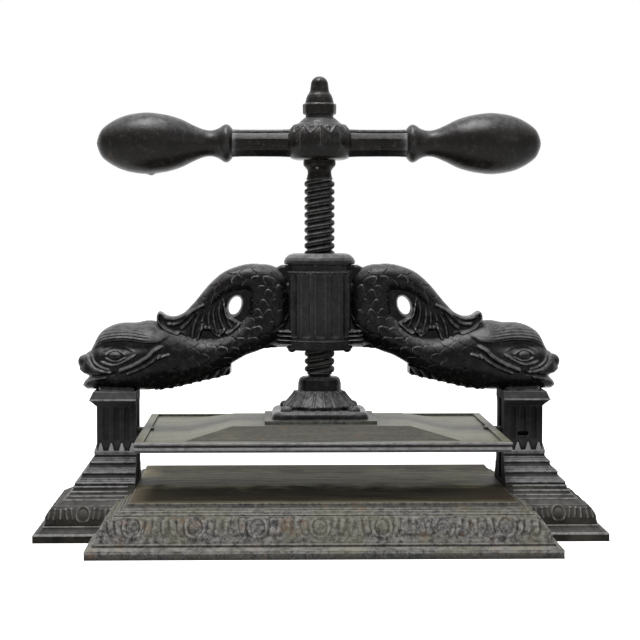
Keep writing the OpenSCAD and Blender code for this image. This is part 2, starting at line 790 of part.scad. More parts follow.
// Scalloped fin under the belly: start, end, sag of its line and size of its lobes
fin_start = [0.80, 0.6];
fin_end = [0.335, 12.5];
fin_sag = 2.2 * dolphin_h / 100;
fin_lobes = 8;
lobe_drop = 1.5 * dolphin_h / 100;
fin_height = 13.1 * dolphin_h / 100;

function belly_fin() =
    let (a = arch_point(fin_start), b = arch_point(fin_end), steps = fin_lobes * 4)
    concat(
        [for (i = [0 : steps]) let (t = i / steps) a + (b - a) * t
            - [0, fin_sag * 4 * t * (1 - t) - lobe_drop * (1 - abs(sin(180 * fin_lobes * t)))]],
        [b + [0, fin_height], a + [0, fin_height]]);

// Open mouth: a wedge from the front of the nose to the corner of the lips
mouth = [[1.26, 14.4, 0], [1.15, 11.8, 0], [1.04, 12.7, 0], [1.14, 10.3, 0], [1.26, 7.7, 0]];

// Eye, in the arch's plane
eye_place = [1.02, 27.1];

// Piece of even thickness in the arch's plane
module flat_piece(half) {
    rotate([90, 0, 0])
        linear_extrude(2 * half, center = true)
            children();
}

module dolphin() {
    eye = arch_point(eye_place);
    difference() {
        union() {
            skin(body_rings(dolphin_rows, dolphin_steps, dolphin_sides));
            chin();
            flat_piece(fan_half - fan_step)
                polygon(leaf_outline(fan_ground));
            for (l = fan_leaves)
                flat_piece(fan_half)
                    polygon(leaf_outline(l));
            flat_piece(fin_half)
                polygon(belly_fin());
            for (side = [-1, 1])
                translate([eye[0], side * eye_depth, eye[1]])
                    sphere(r = eye_r);
        }
        loop_hole();
        flat_piece(2 * chin_half)
            polygon(leaf_outline(mouth));
    }
}

// Block under the head that stands on the capital
module chin() {
    back = -column_in - capital_back;
    front = -column_out;
    translate([front, -chin_half, column_z])
        cube([back - front, 2 * chin_half, chin_h]);
}

// Gusset and strap that join a dolphin to the boss
gusset = [[0.25, 28, -0.9], [0.14, 32.9, -0.4], [0.06, 34, 0], [-0.04, 34, 0],
    [-0.04, 86, 0], [0.08, 86, 0], [0.12, 54.2, 0]];
strap = [[0.115, 92.5, 1.1], [0.03, 100.4, 0], [-0.05, 100.6, 0], [-0.05, 84.1, 0], [0.11, 82.2, 0]];

module boss_joint() {
    flat_piece(gusset_half)
        polygon(leaf_outline(gusset));
    flat_piece(strap_half)
        polygon(leaf_outline(strap));
}

module boss_form() {
    cap_foot = boss_h + neck_h;
    cap_top = cap_foot + cap_h;
    profile = [[0, 0], [boss_r, 0], [boss_r, boss_h], [boss_r - neck_depth, boss_h + ease],
        [boss_r - neck_depth, cap_foot - ease], [boss_r + cap_run, cap_foot],
        [boss_r + cap_run, cap_foot + cap_edge_h], [cap_top_r + cap_bevel, cap_top - cap_bevel],
        [cap_top_r, cap_top], [0, cap_top]];
    translate([0, 0, boss_z])
        difference() {
            rotate_extrude()
                polygon(profile);
            for (i = [0 : boss_flutes - 1])
                rotate([0, 0, 360 * i / boss_flutes - 90])
                    translate([boss_r + flute_r - flute_depth, 0, 2 * flute_margin])
                        boss_flute();
        }
}

module boss_flute() {
    run = boss_h - 4 * flute_margin;
    sphere(r = flute_r);
    cylinder(h = run, r = flute_r);
    translate([0, 0, run])
        sphere(r = flute_r);
}

// Arch: boss and dolphins, bored for the nut, its screws and the tie bolts
module dolphin_arch() {
    color(iron)
        difference() {
            union() {
                boss_form();
                both_ends() {
                    dolphin();
                    boss_joint();
                }
            }
            translate([0, 0, column_z])
                cylinder(h = boss_lift, r = boss_r + over);
            translate([0, 0, boss_z - over])
                cylinder(h = bush_h + fit_gap + over, r = bush_r + fit_gap);
            translate([0, 0, boss_z])
                cylinder(h = cap_z + cap_h - boss_z + over, r = thread_r + 2 * run_gap);
            both_ends() {
                translate([column_mid, 0, column_z - over])
                    cylinder(h = bolt_grip + 2 * over, r = bolt_r + fit_gap);
                translate([nut_screw_at, 0, boss_z - over])
                    cylinder(h = nut_screw_grip + 2 * over, r = nut_screw_r + fit_gap);
            }
        }
}

// Nut: flanged bush that bears up against the boss
module screw_nut() {
    color(gunmetal)
        translate([0, 0, boss_z])
            difference() {
                union() {
                    rotate_extrude()
                        polygon([[0, -nut_flange_t], [boss_r - nut_bevel, -nut_flange_t],
                            [boss_r, nut_bevel - nut_flange_t], [boss_r, 0], [0, 0]]);
                    cylinder(h = bush_h, r = bush_r);
                }
                translate([0, 0, -nut_flange_t - over])
                    cylinder(h = nut_flange_t + bush_h + 2 * over, r = thread_r + run_gap);
                both_ends()
                    translate([nut_screw_at, 0, -nut_flange_t - over])
                        cylinder(h = nut_flange_t + 2 * over, r = nut_screw_r + fit_gap);
            }
}

// Round-headed screw, head seated at the origin, shank along +Z
module round_screw(shank_r, length, head_r, head_h) {
    ball = (head_r * head_r + head_h * head_h) / (2 * head_h);
    cylinder(h = length, r = shank_r);
    intersection() {
        translate([0, 0, ball - head_h])
            sphere(r = ball);
        translate([0, 0, -head_h])
            cylinder(h = head_h, r = head_r + over);
    }
}

module nut_screw(side) {
    color(bright_steel)
        translate([side * nut_screw_at, 0, boss_z - nut_flange_t])
            round_screw(nut_screw_r, nut_flange_t + nut_screw_grip, nut_head_r, nut_head_h);
}

// Tie bolt from under the wing, through the column, into the arch
module tie_bolt(side) {
    seat = wing_z - wing_t - tie_washer_t;
    color(bright_steel)
        translate([side * column_mid, 0, seat]) {
            translate([0, 0, -bolt_head_h])
                cylinder(h = bolt_head_h, d = bolt_flats / cos(30), $fn = 6);
            cylinder(h = tie_washer_t + wing_t + column_h + bolt_grip, r = bolt_r);
        }
}

module tie_washer(side) {
    color(bright_steel)
        translate([side * column_mid, 0, wing_z - wing_t - tie_washer_t])
            difference() {
                cylinder(h = tie_washer_t, r = tie_washer_r);
                translate([0, 0, -over])
                    cylinder(h = tie_washer_t + 2 * over, r = bolt_r + fit_gap);
            }
}

// Screw: thrust head, journal, thread, neck, collar, driving square and stud
module screw() {
    color(bright_steel) {
        translate([0, 0, thrust_z])
            rotate_extrude()
                polygon([[0, 0], [thrust_r - ease, 0], [thrust_r, ease], [thrust_r, thrust_h],
                    [journal_r, thrust_h], [journal_r, thread_z - thrust_z],
                    [thread_r, thread_z - thrust_z], [thread_r, screw_neck_z - thrust_z],
                    [screw_neck_r, screw_neck_z - thrust_z + screw_taper],
                    [screw_neck_r, collar_z - thrust_z - screw_taper],
                    [collar_r, collar_z - thrust_z], [collar_r, hub_z - thrust_z],
                    [0, hub_z - thrust_z]]);
        translate([-square_w / 2, -square_w / 2, hub_z - over])
            cube([square_w, square_w, hub_h]);
        translate([0, 0, hub_z])
            cylinder(h = hub_h + handle_washer_t + stud_h, r = stud_r);
    }
}

// Bulb outline: share of its length from the ring, and radius as a share of its
// step from the neck radius to the greatest radius
grip_rows = [[0, 0.30], [0.04, 0.04], [0.09, 0], [0.15, 0.06], [0.23, 0.30], [0.32, 0.61],
    [0.42, 0.83], [0.52, 0.96], [0.585, 1], [0.66, 0.97], [0.75, 0.86], [0.83, 0.66],
    [0.90, 0.38], [0.955, 0.06], [0.985, -0.34]];

module grip() {
    start = arm_reach + ring_w;
    ring_foot = ring_r - ring_bulge;
    rings = [for (i = [0 : 2 * (len(grip_rows) - 1)]) smooth(grip_rows, i / 2)];
    rotate([0, 90, 0])
        rotate_extrude()
            polygon(concat(
                [[0, arm_reach - over], [ring_foot, arm_reach - over]],
                bowed([ring_foot, arm_reach], [ring_foot, start], -ring_bulge),
                [for (p = rings) [grip_neck_r + (grip_r - grip_neck_r) * p[1],
                    start + grip_l * p[0]]],
                [[0, start + grip_l]]));
}

// Handle: hub, bevelled arms, rings and weighted bulbs in one casting
module handle() {
    color(iron)
        difference() {
            union() {
                hub();
                translate([0, 0, arm_z]) {
                    rotate([90, 0, 90])
                        linear_extrude(2 * arm_reach, center = true)
                            polygon(bevelled(arm_d / 2, arm_h / 2, arm_bevel));
                    both_ends()
                        grip();
                }
            }
            translate([0, 0, hub_z + hub_h / 2])
                cube([square_w + 2 * fit_gap, square_w + 2 * fit_gap, hub_h + 2 * over],
                    center = true);
        }
}

module hub() {
    side = hub_r - hub_bulge / 2;
    ring_z = hub_h - hub_ring_h;
    translate([0, 0, hub_z])
        rotate_extrude()
            polygon(concat([[0, 0], [side - hub_bevel_h, 0]],
                bowed([side, hub_bevel_h], [side - hub_taper, hub_bevel_h + hub_round_h], -hub_bulge),
                [[hub_ring_r + ease, ring_z], [hub_ring_r, ring_z],
                    [hub_ring_r - hub_ring_run, hub_h], [0, hub_h]]));
}

function bevelled(half_x, half_y, bevel) =
    [for (s = [[1, 1], [-1, 1], [-1, -1], [1, -1]]) each
        s[0] * s[1] > 0
            ? [[s[0] * half_x, s[1] * (half_y - bevel)], [s[0] * (half_x - bevel), s[1] * half_y]]
            : [[s[0] * (half_x - bevel), s[1] * half_y], [s[0] * half_x, s[1] * (half_y - bevel)]]];

module handle_washer() {
    color(bright_steel)
        translate([0, 0, washer_z])
            difference() {
                cylinder(h = handle_washer_t, r = handle_washer_r);
                translate([0, 0, -over])
                    cylinder(h = handle_washer_t + 2 * over, r = stud_r + fit_gap);
            }
}

// Finial: acorn nut with a ring, a shoulder and a domed top
module finial_nut() {
    shoulder = finial_ring_h + finial_shoulder_h;
    color(iron)
        translate([0, 0, finial_z])
            difference() {
                rotate_extrude()
                    polygon(concat([[0, 0], [finial_r - finial_bevel, 0], [finial_r, finial_bevel],
                        [finial_r, finial_ring_h - ease], [finial_r - ease, finial_ring_h],
                        [finial_shoulder_r, finial_ring_h]],
                        bowed([finial_shoulder_r, finial_ring_h + ease],
                            [finial_dome_r + finial_taper, shoulder], ease),
                        [for (a = [0 : 10 : 90]) [finial_dome_r * cos(a),
                            shoulder + finial_dome_h + finial_dome_r * sin(a)]]));
                translate([0, 0, -over])
                    cylinder(h = stud_h + run_gap + over, r = stud_r + fit_gap);
            }
}

// Edge of the platen: lower bead, hollow and upper bead
platen_profile = [[-ease, platen_edge_h], [0, platen_edge_h - ease], [0, platen_edge_h - bead_h],
    [-bead_depth, platen_edge_h - 1.5 * bead_h], [-bead_depth, 1.5 * bead_h],
    [-ease, bead_h], [-ease, ease], [-2 * ease, 0]];

// Rise of the platen from the margin to the middle
rise_profile = [[0, rise_h], [rise_run, 0], [rise_run, -over]];

module platen() {
    top_half_x = platen_w / 2 - rim_w - margin_x - rise_run;
    top_half_y = platen_d / 2 - rim_w - margin_y - rise_run;
    color(worn_iron)
        difference() {
            union() {
                difference() {
                    translate([0, 0, platen_z])
                        moulded_block(platen_w / 2, platen_d / 2, platen_profile);
                    translate([rim_w - platen_w / 2, rim_w - platen_d / 2, plate_z])
                        cube([platen_w - 2 * rim_w, platen_d - 2 * rim_w, rim_drop + over]);
                }
                translate([0, 0, plate_z])
                    moulded_block(top_half_x, top_half_y, rise_profile);
                translate([0, 0, pad_z])
                    cube([pad_w, pad_w, 2 * pad_h], center = true);
                both_ends()
                    guide_lug();
            }
            translate([0, 0, platen_top - pad_disc_seat])
                cylinder(h = pad_disc_seat + over, r = pad_disc_r + fit_gap);
            socket_screw_places()
                translate([0, 0, platen_top - socket_screw_grip - over])
                    cylinder(h = socket_screw_grip + 2 * over, r = socket_screw_r + fit_gap);
        }
}

// Lug at the middle of an end that runs in the column's groove
module guide_lug() {
    root = platen_w / 2 - rim_w - bead_depth;
    tip = column_in + lug_reach;
    translate([root, -lug_w / 2, platen_z + platen_edge_h - lug_h])
        cube([tip - root, lug_w, lug_h]);
}

module socket_screw_places() {
    for (x = [-1, 1], y = [-1, 1])
        translate([x * socket_screw_at, y * socket_screw_at, 0])
            children();
}

// Rounded edge of the socket's flange
cushion = concat([for (a = [0 : 15 : 90])
    [cushion_r * (sin(a) - 1), socket_t - cushion_r * (1 - cos(a))]], [[0, 0]]);

// Socket: cushioned square flange, dome and collar over the thrust head
module swivel_socket() {
    half = socket_w / 2;
    dome_z = platen_top + socket_t;
    collar_base = dome_z + dome_h;
    collar_top = collar_base + socket_collar_h;
    color(iron)
        difference() {
            union() {
                intersection() {
                    translate([0, 0, platen_top])
                        moulded_block(half, half, cushion);
                    translate([0, 0, platen_top])
                        linear_extrude(socket_t)
                            rounded_square(half, socket_corner);
                }
                rotate_extrude()
                    polygon(concat([[0, dome_z - over], [dome_r, dome_z - over]],
                        bowed([dome_r, dome_z], [socket_collar_r + dome_step, collar_base], -dome_sag),
                        [[socket_collar_r, collar_base + ease]],
                        [for (a = [0 : 15 : 90])
                            [socket_collar_r - socket_round + socket_round * cos(a),
                                collar_top - socket_round + socket_round * sin(a)]],
                        [[0, collar_top]]));
            }
            translate([0, 0, platen_top - over])
                cylinder(h = shoulder_z - platen_top + over, r = thrust_r + run_gap);
            translate([0, 0, platen_top])
                cylinder(h = collar_top - platen_top + over, r = journal_r + journal_gap);
            socket_screw_places() {
                translate([0, 0, platen_top - over])
                    cylinder(h = socket_t + 2 * over, r = socket_screw_r + fit_gap);
                translate([0, 0, dome_z])
                    cylinder(h = dome_h, r = socket_head_r + run_gap);
            }
        }
}

module rounded_square(half, corner) {
    square([2 * half, 2 * (half - corner)], center = true);
    square([2 * (half - corner), 2 * half], center = true);
    for (x = [-1, 1], y = [-1, 1])
        translate([x * (half - corner), y * (half - corner)])
            circle(r = corner);
}

module socket_screw(x, y) {
    color(bright_steel)
        translate([x * socket_screw_at, y * socket_screw_at, platen_top + socket_t])
            mirror([0, 0, 1])
                round_screw(socket_screw_r, socket_t + socket_screw_grip,
                    socket_head_r, socket_head_h);
}

module thrust_pad() {
    color(bright_steel)
        translate([0, 0, platen_top - pad_disc_seat])
            cylinder(h = pad_disc_t, r = pad_disc_r);
}

base_casting();
left_wing();
right_wing();
left_column();
right_column();
dolphin_arch();
screw_nut();
nut_screw(-1);  // left_nut_screw
nut_screw(1);  // right_nut_screw
tie_bolt(-1);  // left_tie_bolt
tie_bolt(1);  // right_tie_bolt
tie_washer(-1);  // left_tie_washer
tie_washer(1);  // right_tie_washer
screw();
handle();
handle_washer();
finial_nut();
platen();
swivel_socket();
socket_screw(-1, -1);  // socket_screw_1
socket_screw(1, -1);  // socket_screw_2
socket_screw(1, 1);  // socket_screw_3
socket_screw(-1, 1);  // socket_screw_4
thrust_pad();
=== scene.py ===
"""Copying press with a dolphin arch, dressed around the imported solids.

Shapes are worked out in millimetres in the shared frame: origin at the middle of the
resting face, +X to the right, +Y to the back, +Z up. Pieces are stored in metres.
"""
import math

import bmesh
import bpy
import numpy as np
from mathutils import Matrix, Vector


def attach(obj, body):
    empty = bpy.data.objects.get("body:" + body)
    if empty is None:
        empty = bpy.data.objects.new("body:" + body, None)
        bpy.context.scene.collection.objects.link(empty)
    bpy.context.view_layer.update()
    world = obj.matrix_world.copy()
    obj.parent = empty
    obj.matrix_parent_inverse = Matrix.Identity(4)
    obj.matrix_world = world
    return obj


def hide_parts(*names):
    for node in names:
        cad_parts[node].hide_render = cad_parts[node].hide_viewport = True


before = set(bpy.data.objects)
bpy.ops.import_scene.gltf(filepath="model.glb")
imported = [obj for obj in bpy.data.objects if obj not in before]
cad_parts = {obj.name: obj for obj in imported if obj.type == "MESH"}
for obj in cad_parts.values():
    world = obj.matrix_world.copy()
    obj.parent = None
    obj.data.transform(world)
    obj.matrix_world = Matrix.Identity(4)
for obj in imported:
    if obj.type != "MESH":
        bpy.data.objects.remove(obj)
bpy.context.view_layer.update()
MM = 0.001

# Sizes in millimetres and counts that the scene shares with the solids
BED_HALF_X = 157.0
BED_HALF_Y = 130.0
WING_Z = 44.0
COLUMN_MID = 173.75
COLUMN_OUT = 190.5
COLUMN_HALF_Y = 25.0
COLUMN_Z = 122.0
SHAFT_Z = 71.6
FLUTE_PITCH = 9.0
FOOT_OUT = 207.9
FOOT_HALF_Y = 42.4
FOOT_H = 24.6
STEP_H = 8.2
STEP_RUN = 5.8
QUIRK = 1.2
BOSS_R = 28.6
BOSS_Z = 163.0
BOSS_FLUTES = 14
THREAD_Z = 135.1
THREAD_TOP = 305.1
THREAD_R = 13.0
THREAD_STARTS = 2
PITCH = 6.65
HUB_Z = 319.7
ARM_Z = 334.1
ARM_REACH = 76.0
FINIAL_Z = 360.5
PLATEN_TOP = 98.8
PLATEN_HALF_X = 152.5
PLATEN_HALF_Y = 127.0
FLANGE_Z = 6.6
SCREW_AT = 29.0

# Ornament, which the solids lack or have in a plainer form
FLARE = 2.2
THREAD_DEPTH = 2.4
HUB_PETALS = 10
DOME_LEAVES = 10
DOME_R = 32.0
DOME_TOP_R = 19.4
REED_SIDES = 12
FIN_LOBES = 8
SKIRT_BAND = 24.4
SKIRT_PITCH = 49.3
WING_BAND = 18.5
WING_PITCH = 37.0


# Curves and height maps

# Weights of four points in a row, for each power of the way between the middle two
SPLINE = 0.5 * np.array([[0, 2, 0, 0], [-1, 0, 1, 0], [2, -5, 4, -1], [-1, 3, -3, 1]])


def smooth_path(points, per_span=8, closed=False):
    """Points along a smooth curve through the given ones."""
    p = np.asarray(points, float)
    before, after = (p[-1:], p[:2]) if closed else (p[:1], p[-1:])
    p = np.vstack([before, p, after])
    weights = (np.arange(per_span)[:, None] / per_span) ** np.arange(4) @ SPLINE
    out = [weights @ p[i:i + 4] for i in range(len(p) - 3)]
    return np.vstack(out if closed else [*out, after])


def bowed(p, q, sag, steps=8):
    """Points of a shallow arc from p to q that bulges to the left of the way by sag."""
    p = np.array(p, float)
    way = np.array(q, float) - p
    left = np.array([-way[1], way[0]]) / np.hypot(*way)
    t = np.linspace(0, 1, steps + 1)[:, None]
    return p + way * t + left * (4 * sag * t * (1 - t))


def eased(points, radius, closed=True):
    """The same outline with every corner rounded over a short length."""
    p = np.asarray(points, float)
    n = len(p)
    out = []
    for i, corner in enumerate(p):
        if not closed and i in (0, n - 1):
            out.append(corner)
            continue
        ends = []
        for beside in (p[i - 1], p[(i + 1) % n]):
            way = beside - corner
            length = np.hypot(*way)
            ends.append(corner + way / max(length, 1e-9) * min(radius, 0.45 * length))
        for t in (0.0, 0.33, 0.67, 1.0):
            out.append((1 - t) ** 2 * ends[0] + 2 * t * (1 - t) * corner + t * t * ends[1])
    return np.array(out)


def spaced(points, step, closed=True):
    """The same outline with no side longer than a step."""
    p = np.asarray(points, float)
    n = len(p)
    out = []
    for i in range(n if closed else n - 1):
        way = p[(i + 1) % n] - p[i]
        parts = max(int(math.ceil(np.hypot(*way) / step)), 1)
        for k in range(parts):
            out.append(p[i] + way * k / parts)
    if not closed:
        out.append(p[-1])
    return np.array(out)


def step01(x):
    """Smooth step from 0 to 1 while x goes from 0 to 1."""
    x = np.clip(x, 0, 1)
    return x * x * (3 - 2 * x)


def soft_max(a, b, k):
    """The greater of two heights, with the change between them rounded over k."""
    h = np.clip(0.5 + 0.5 * (a - b) / k, 0, 1)
    return b + (a - b) * h + k * h * (1 - h)


def root(x):
    """Square root that keeps the sign."""
    return np.sign(x) * np.sqrt(np.abs(x))


def bell(x, width):
    """Bell curve of height 1."""
    return np.exp(-(x / width) ** 2)


def half_ball(x, y=0.0):
    """Height of a half ball of radius 1, zero outside it."""
    return np.sqrt(np.clip(1 - x * x - y * y, 0, 1))


def off_middle(phase):
    """Distance from the nearest whole number: 0 there, 1 half way to the next."""
    return np.abs(phase - np.round(phase)) * 2


def off_leaf(turn, count, start, shift=0.0):
    """Distance from the middle of the nearest leaf in a ring of them, as off_middle."""
    return off_middle((turn + start) * count / (2 * math.pi) + shift)


def path_distance(A, B, path):
    """Distance of every point from a path, and its share of the way along it."""
    best = np.full(A.shape, 1e9)
    along = np.zeros(A.shape)
    seg = np.linalg.norm(np.diff(path, axis=0), axis=1)
    total = seg.sum()
    done = 0.0
    for p, way, length in zip(path, np.diff(path, axis=0), seg):
        t = ((A - p[0]) * way[0] + (B - p[1]) * way[1]) / max(length * length, 1e-9)
        t = np.clip(t, 0, 1)
        d = np.hypot(A - p[0] - t * way[0], B - p[1] - t * way[1])
        near = d < best
        best = np.where(near, d, best)
        along = np.where(near, (done + t * length) / total, along)
        done += length
    return best, along


def ridge(A, B, points, width, height, fade_in=0.15, fade_out=0.15):
    """Rounded roll along a curve; its ends fade over a share of its length."""
    path = smooth_path(points)
    pad = width + 1
    near = (A > path[:, 0].min() - pad) & (A < path[:, 0].max() + pad)
    near &= (B > path[:, 1].min() - pad) & (B < path[:, 1].max() + pad)
    out = np.zeros(A.shape)
    d, t = path_distance(A[near], B[near], path)
    ends = step01(t / fade_in) * step01((1 - t) / fade_out)
    x = np.clip(d / (width * (0.35 + 0.65 * ends)), 0, 1)
    out[near] = height * ends * (1 - x * x) ** 2
    return out


def rolls(A, B, table, *fades):
    """Sum of the rolls in a table of points, width and height."""
    return sum(ridge(A, B, *row, *fades) for row in table)


def inside_outline(A, B, outline):
    """Signed distance to a closed outline, positive inside."""
    path = np.vstack([outline, outline[:1]])
    d, _ = path_distance(A, B, path)
    odd = np.zeros(A.shape, bool)
    for p, q in zip(path[:-1], path[1:]):
        if p[1] == q[1]:
            continue
        crosses = (p[1] > B) != (q[1] > B)
        at = p[0] + (B - p[1]) * (q[0] - p[0]) / (q[1] - p[1])
        odd ^= crosses & (A < at)
    return np.where(odd, d, -d)


# Meshes and pieces

def grid_faces(rows, cols, wrap_rows, wrap_cols):
    """Corner numbers of the faces between rows and columns of points."""
    i = np.arange(rows if wrap_rows else rows - 1)[:, None]
    j = np.arange(cols if wrap_cols else cols - 1)[None, :]
    up = (i + 1) % rows
    side = (j + 1) % cols
    corners = [i * cols + j, i * cols + side, up * cols + side, up * cols + j]
    return np.stack(corners, -1).reshape(-1, 4)


class Form:
    """Points in millimetres and faces, gathered from several closed shapes."""

    def __init__(self):
        self.points = []
        self.faces = []
        self.count = 0

    def add(self, points, faces):
        points = np.asarray(points, float).reshape(-1, 3)
        self.points.append(points)
        self.faces.extend([tuple(int(k) + self.count for k in f) for f in faces])
        self.count += len(points)
        return self

    def grid(self, points, wrap_rows=False):
        """Rings of points; the last joins the first where rows wrap."""
        return self.add(points, grid_faces(*points.shape[:2], wrap_rows, True))

    def tube(self, rings, closed=False):
        """Rings of points, with a face over each end unless the tube is closed."""
        rings = np.asarray(rings, float)
        rows, cols = rings.shape[:2]
        faces = grid_faces(rows, cols, closed, True).tolist()
        if not closed:
            last = (rows - 1) * cols
            faces += [list(range(cols)), list(range(last, last + cols))]
        return self.add(rings, faces)


def turned(outline, columns, relief=None, base=0.0):
    """Grid of points round the Z axis from an outline of radius and height over a base."""
    turn = np.linspace(0, 2 * np.pi, columns, endpoint=False)
    r = np.repeat(outline[:, :1], columns, 1)
    z = np.repeat(outline[:, 1:2], columns, 1)
    if relief is not None:
        r = r + relief(np.broadcast_to(turn, r.shape), r, z)
    return np.stack([r * np.cos(turn), r * np.sin(turn), base + z], -1)


def add_object(name, data):
    """New object in the scene."""
    thing = bpy.data.objects.new(name, data)
    bpy.context.collection.objects.link(thing)
    return thing


def make_piece(name, form, body, material, nodes=(), sharp=40):
    """Object from a form that rides on a body and stands for nodes; sharp is in degrees."""
    mesh = bpy.data.meshes.new(name)
    mesh.from_pydata((np.vstack(form.points) * MM).tolist(), [], form.faces)
    work = bmesh.new()
    work.from_mesh(mesh)
    bmesh.ops.remove_doubles(work, verts=work.verts, dist=2e-6)
    bmesh.ops.dissolve_degenerate(work, edges=work.edges, dist=1e-7)
    bmesh.ops.recalc_face_normals(work, faces=work.faces)
    work.to_mesh(mesh)
    work.free()
    mesh.polygons.foreach_set("use_smooth", [True] * len(mesh.polygons))
    mesh.set_sharp_from_angle(angle=math.radians(sharp))
    piece = add_object(name, mesh)
    mesh.materials.append(material)
    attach(piece, body)
    if nodes:
        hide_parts(*nodes)
    return piece


def surface_net(field, origin, step):
    """Mesh of the surface where a field on a grid changes sign; negative is inside."""
    inside = field < 0
    cells = np.array(field.shape) - 1
    total = np.zeros(cells, np.int8)
    corners = list(np.ndindex(2, 2, 2))
    for i, j, k in corners:
        total += inside[i:i + cells[0], j:j + cells[1], k:k + cells[2]]
    at = np.argwhere((total > 0) & (total < 8))
    index = np.full(cells, -1)
    index[tuple(at.T)] = np.arange(len(at))
    place = np.zeros((len(at), 3))
    hits = np.zeros(len(at))
    for a in corners:
        for axis in range(3):
            if a[axis]:
                continue
            b = list(a)
            b[axis] = 1
            first = field[tuple((at + a).T)]
            last = field[tuple((at + b).T)]
            cross = (first < 0) != (last < 0)
            t = np.where(cross, first / np.where(cross, first - last, 1), 0)
            place += np.outer(cross, a)
            place[:, axis] += t
            hits += cross
    points = origin + (at + place / hits[:, None]) * step
    faces = []
    for axis in range(3):
        low = [slice(1, -1)] * 3
        high = [slice(1, -1)] * 3
        low[axis] = slice(0, -1)
        high[axis] = slice(1, None)
        shift = np.ones(3, int)
        shift[axis] = 0
        edges = np.argwhere(inside[tuple(low)] != inside[tuple(high)]) + shift
        u, v = [k for k in range(3) if k != axis]
        ring = []
        for du, dv in ((0, 0), (-1, 0), (-1, -1), (0, -1)):
            cell = edges.copy()
            cell[:, u] += du
            cell[:, v] += dv
            ring.append(index[tuple(cell.T)])
        faces.append(np.stack(ring, 1))
    return points, np.vstack(faces)


# One dolphin, as half thickness over the arch's plane: A is the distance from the screw's
# axis, B the height above the column top

# Place along the span from boss to column, height, half height, half thickness, uprightness
DOLPHIN_ROWS = [
    [1.205, 15, 9, 8, 1], [1.195, 15.7, 12.6, 11.5, 1], [1.18, 16.6, 15.6, 15, 1],
    [1.155, 17.8, 17, 17.5, 1], [1.135, 20.4, 19.8, 19.4, 1], [1.10, 25, 24.4, 22, 1],
    [1.04, 27.7, 27.6, 24.2, 1], [0.97, 29, 29, 26, 1], [0.887, 29.1, 29.2, 26.8, 1],
    [0.804, 30, 30, 26.6, 1], [0.697, 29.1, 27.3, 24.6, 0.8], [0.583, 27.3, 22.7, 22, 0.5],
    [0.476, 28.1, 18.3, 20, 0.2], [0.375, 34.1, 13.9, 18.6, 0], [0.285, 40.8, 12.9, 17.7, 0],
    [0.196, 48.7, 16, 17.3, 0], [0.118, 60.2, 19.5, 17, 0], [0.103, 75.4, 19, 16.4, 0],
    [0.121, 89, 19.1, 15.6, 0], [0.192, 95.2, 13.8, 14.3, 0], [0.265, 95.4, 11.7, 13.4, 0],
    [0.34, 92.2, 10.4, 12.5, 0], [0.408, 85.4, 9, 12, 0], [0.464, 77.6, 8, 11.7, 0],
    [0.517, 70, 7, 11.2, 0], [0.58, 62.6, 5.8, 10.4, 0], [0.655, 58.2, 4, 8.7, 0]]
# Reach of the height map: along A, up B, and to both sides of the plane
MAP_START = 22.0
MAP_END = 212.0
MAP_TOP = 110.0
MAP_HALF_Y = 30.0


def dolphin_body(A, B):
    """Half thickness of the bare body, way along its spine and place across it."""
    rows = smooth_path(DOLPHIN_ROWS, 26)
    a = BOSS_R + (COLUMN_MID - BOSS_R) * rows[:, 0]
    b = rows[:, 1]
    way = np.stack([np.gradient(a), np.gradient(b)], 1)
    way /= np.linalg.norm(way, axis=1)[:, None]
    square = np.stack([way[:, 1], -way[:, 0]], 1)
    lean = square * (1 - rows[:, 4:5]) + np.array([0, 1.0]) * rows[:, 4:5]
    up = lean / np.linalg.norm(lean, axis=1)[:, None]
    length = np.concatenate([[0], np.cumsum(np.hypot(np.diff(a), np.diff(b)))])
    best = np.full(A.shape, -1e9)
    u = np.zeros(A.shape)
    v = np.zeros(A.shape)
    reach = 4.0
    for i in range(len(a)):
        da = A - a[i]
        db = B - b[i]
        across = (da * up[i, 0] + db * up[i, 1]) / rows[i, 2]
        side = np.array([up[i, 1], -up[i, 0]])
        if side @ way[i] < 0:
            side = -side
        along = da * side[0] + db * side[1]
        fullness = np.where(across < 0, 2 + 1.8 * rows[i, 4], 2.0)
        q = rows[i, 3] ** 2 * (1 - np.abs(across) ** fullness - (along / reach) ** 2)
        better = q > best
        best = np.where(better, q, best)
        u = np.where(better, length[i] + along, u)
        v = np.where(better, across * rows[i, 2], v)
    return root(best), u, v


# Factors that scatter the row and column of a scale into a share from 0 to 1
SCATTER = (12.9898, 78.233, 43758.5453)


def scales(u, v, pitch=8.6, width=9.8, height=2.0):
    """Overlapping round scales of uneven height whose free edges point to the tail."""
    out = np.zeros(u.shape)
    taken = np.zeros(u.shape, bool)
    first = np.floor(u / pitch) - 2
    for k in range(3):
        row = first + k
        shift = np.where(row % 2 == 0, 0.0, 0.5) * width
        place = (v + shift) / width + 1000
        x = place % 1 * 2 - 1
        chance = np.sin(row * SCATTER[0] + np.floor(place) * SCATTER[1]) * SCATTER[2] % 1
        edge = (row + 1.9 - 0.75 * x * x) * pitch
        t = (u - row * pitch) / (edge - row * pitch)
        hit = ~taken & (u < edge)
        shape = height * (0.45 + 0.55 * chance) * (0.25 + 0.75 * np.clip(t, 0, 1))
        out = np.where(hit, shape * (1 - 0.35 * x * x) * step01(edge - u), out)
        taken |= hit
    return out


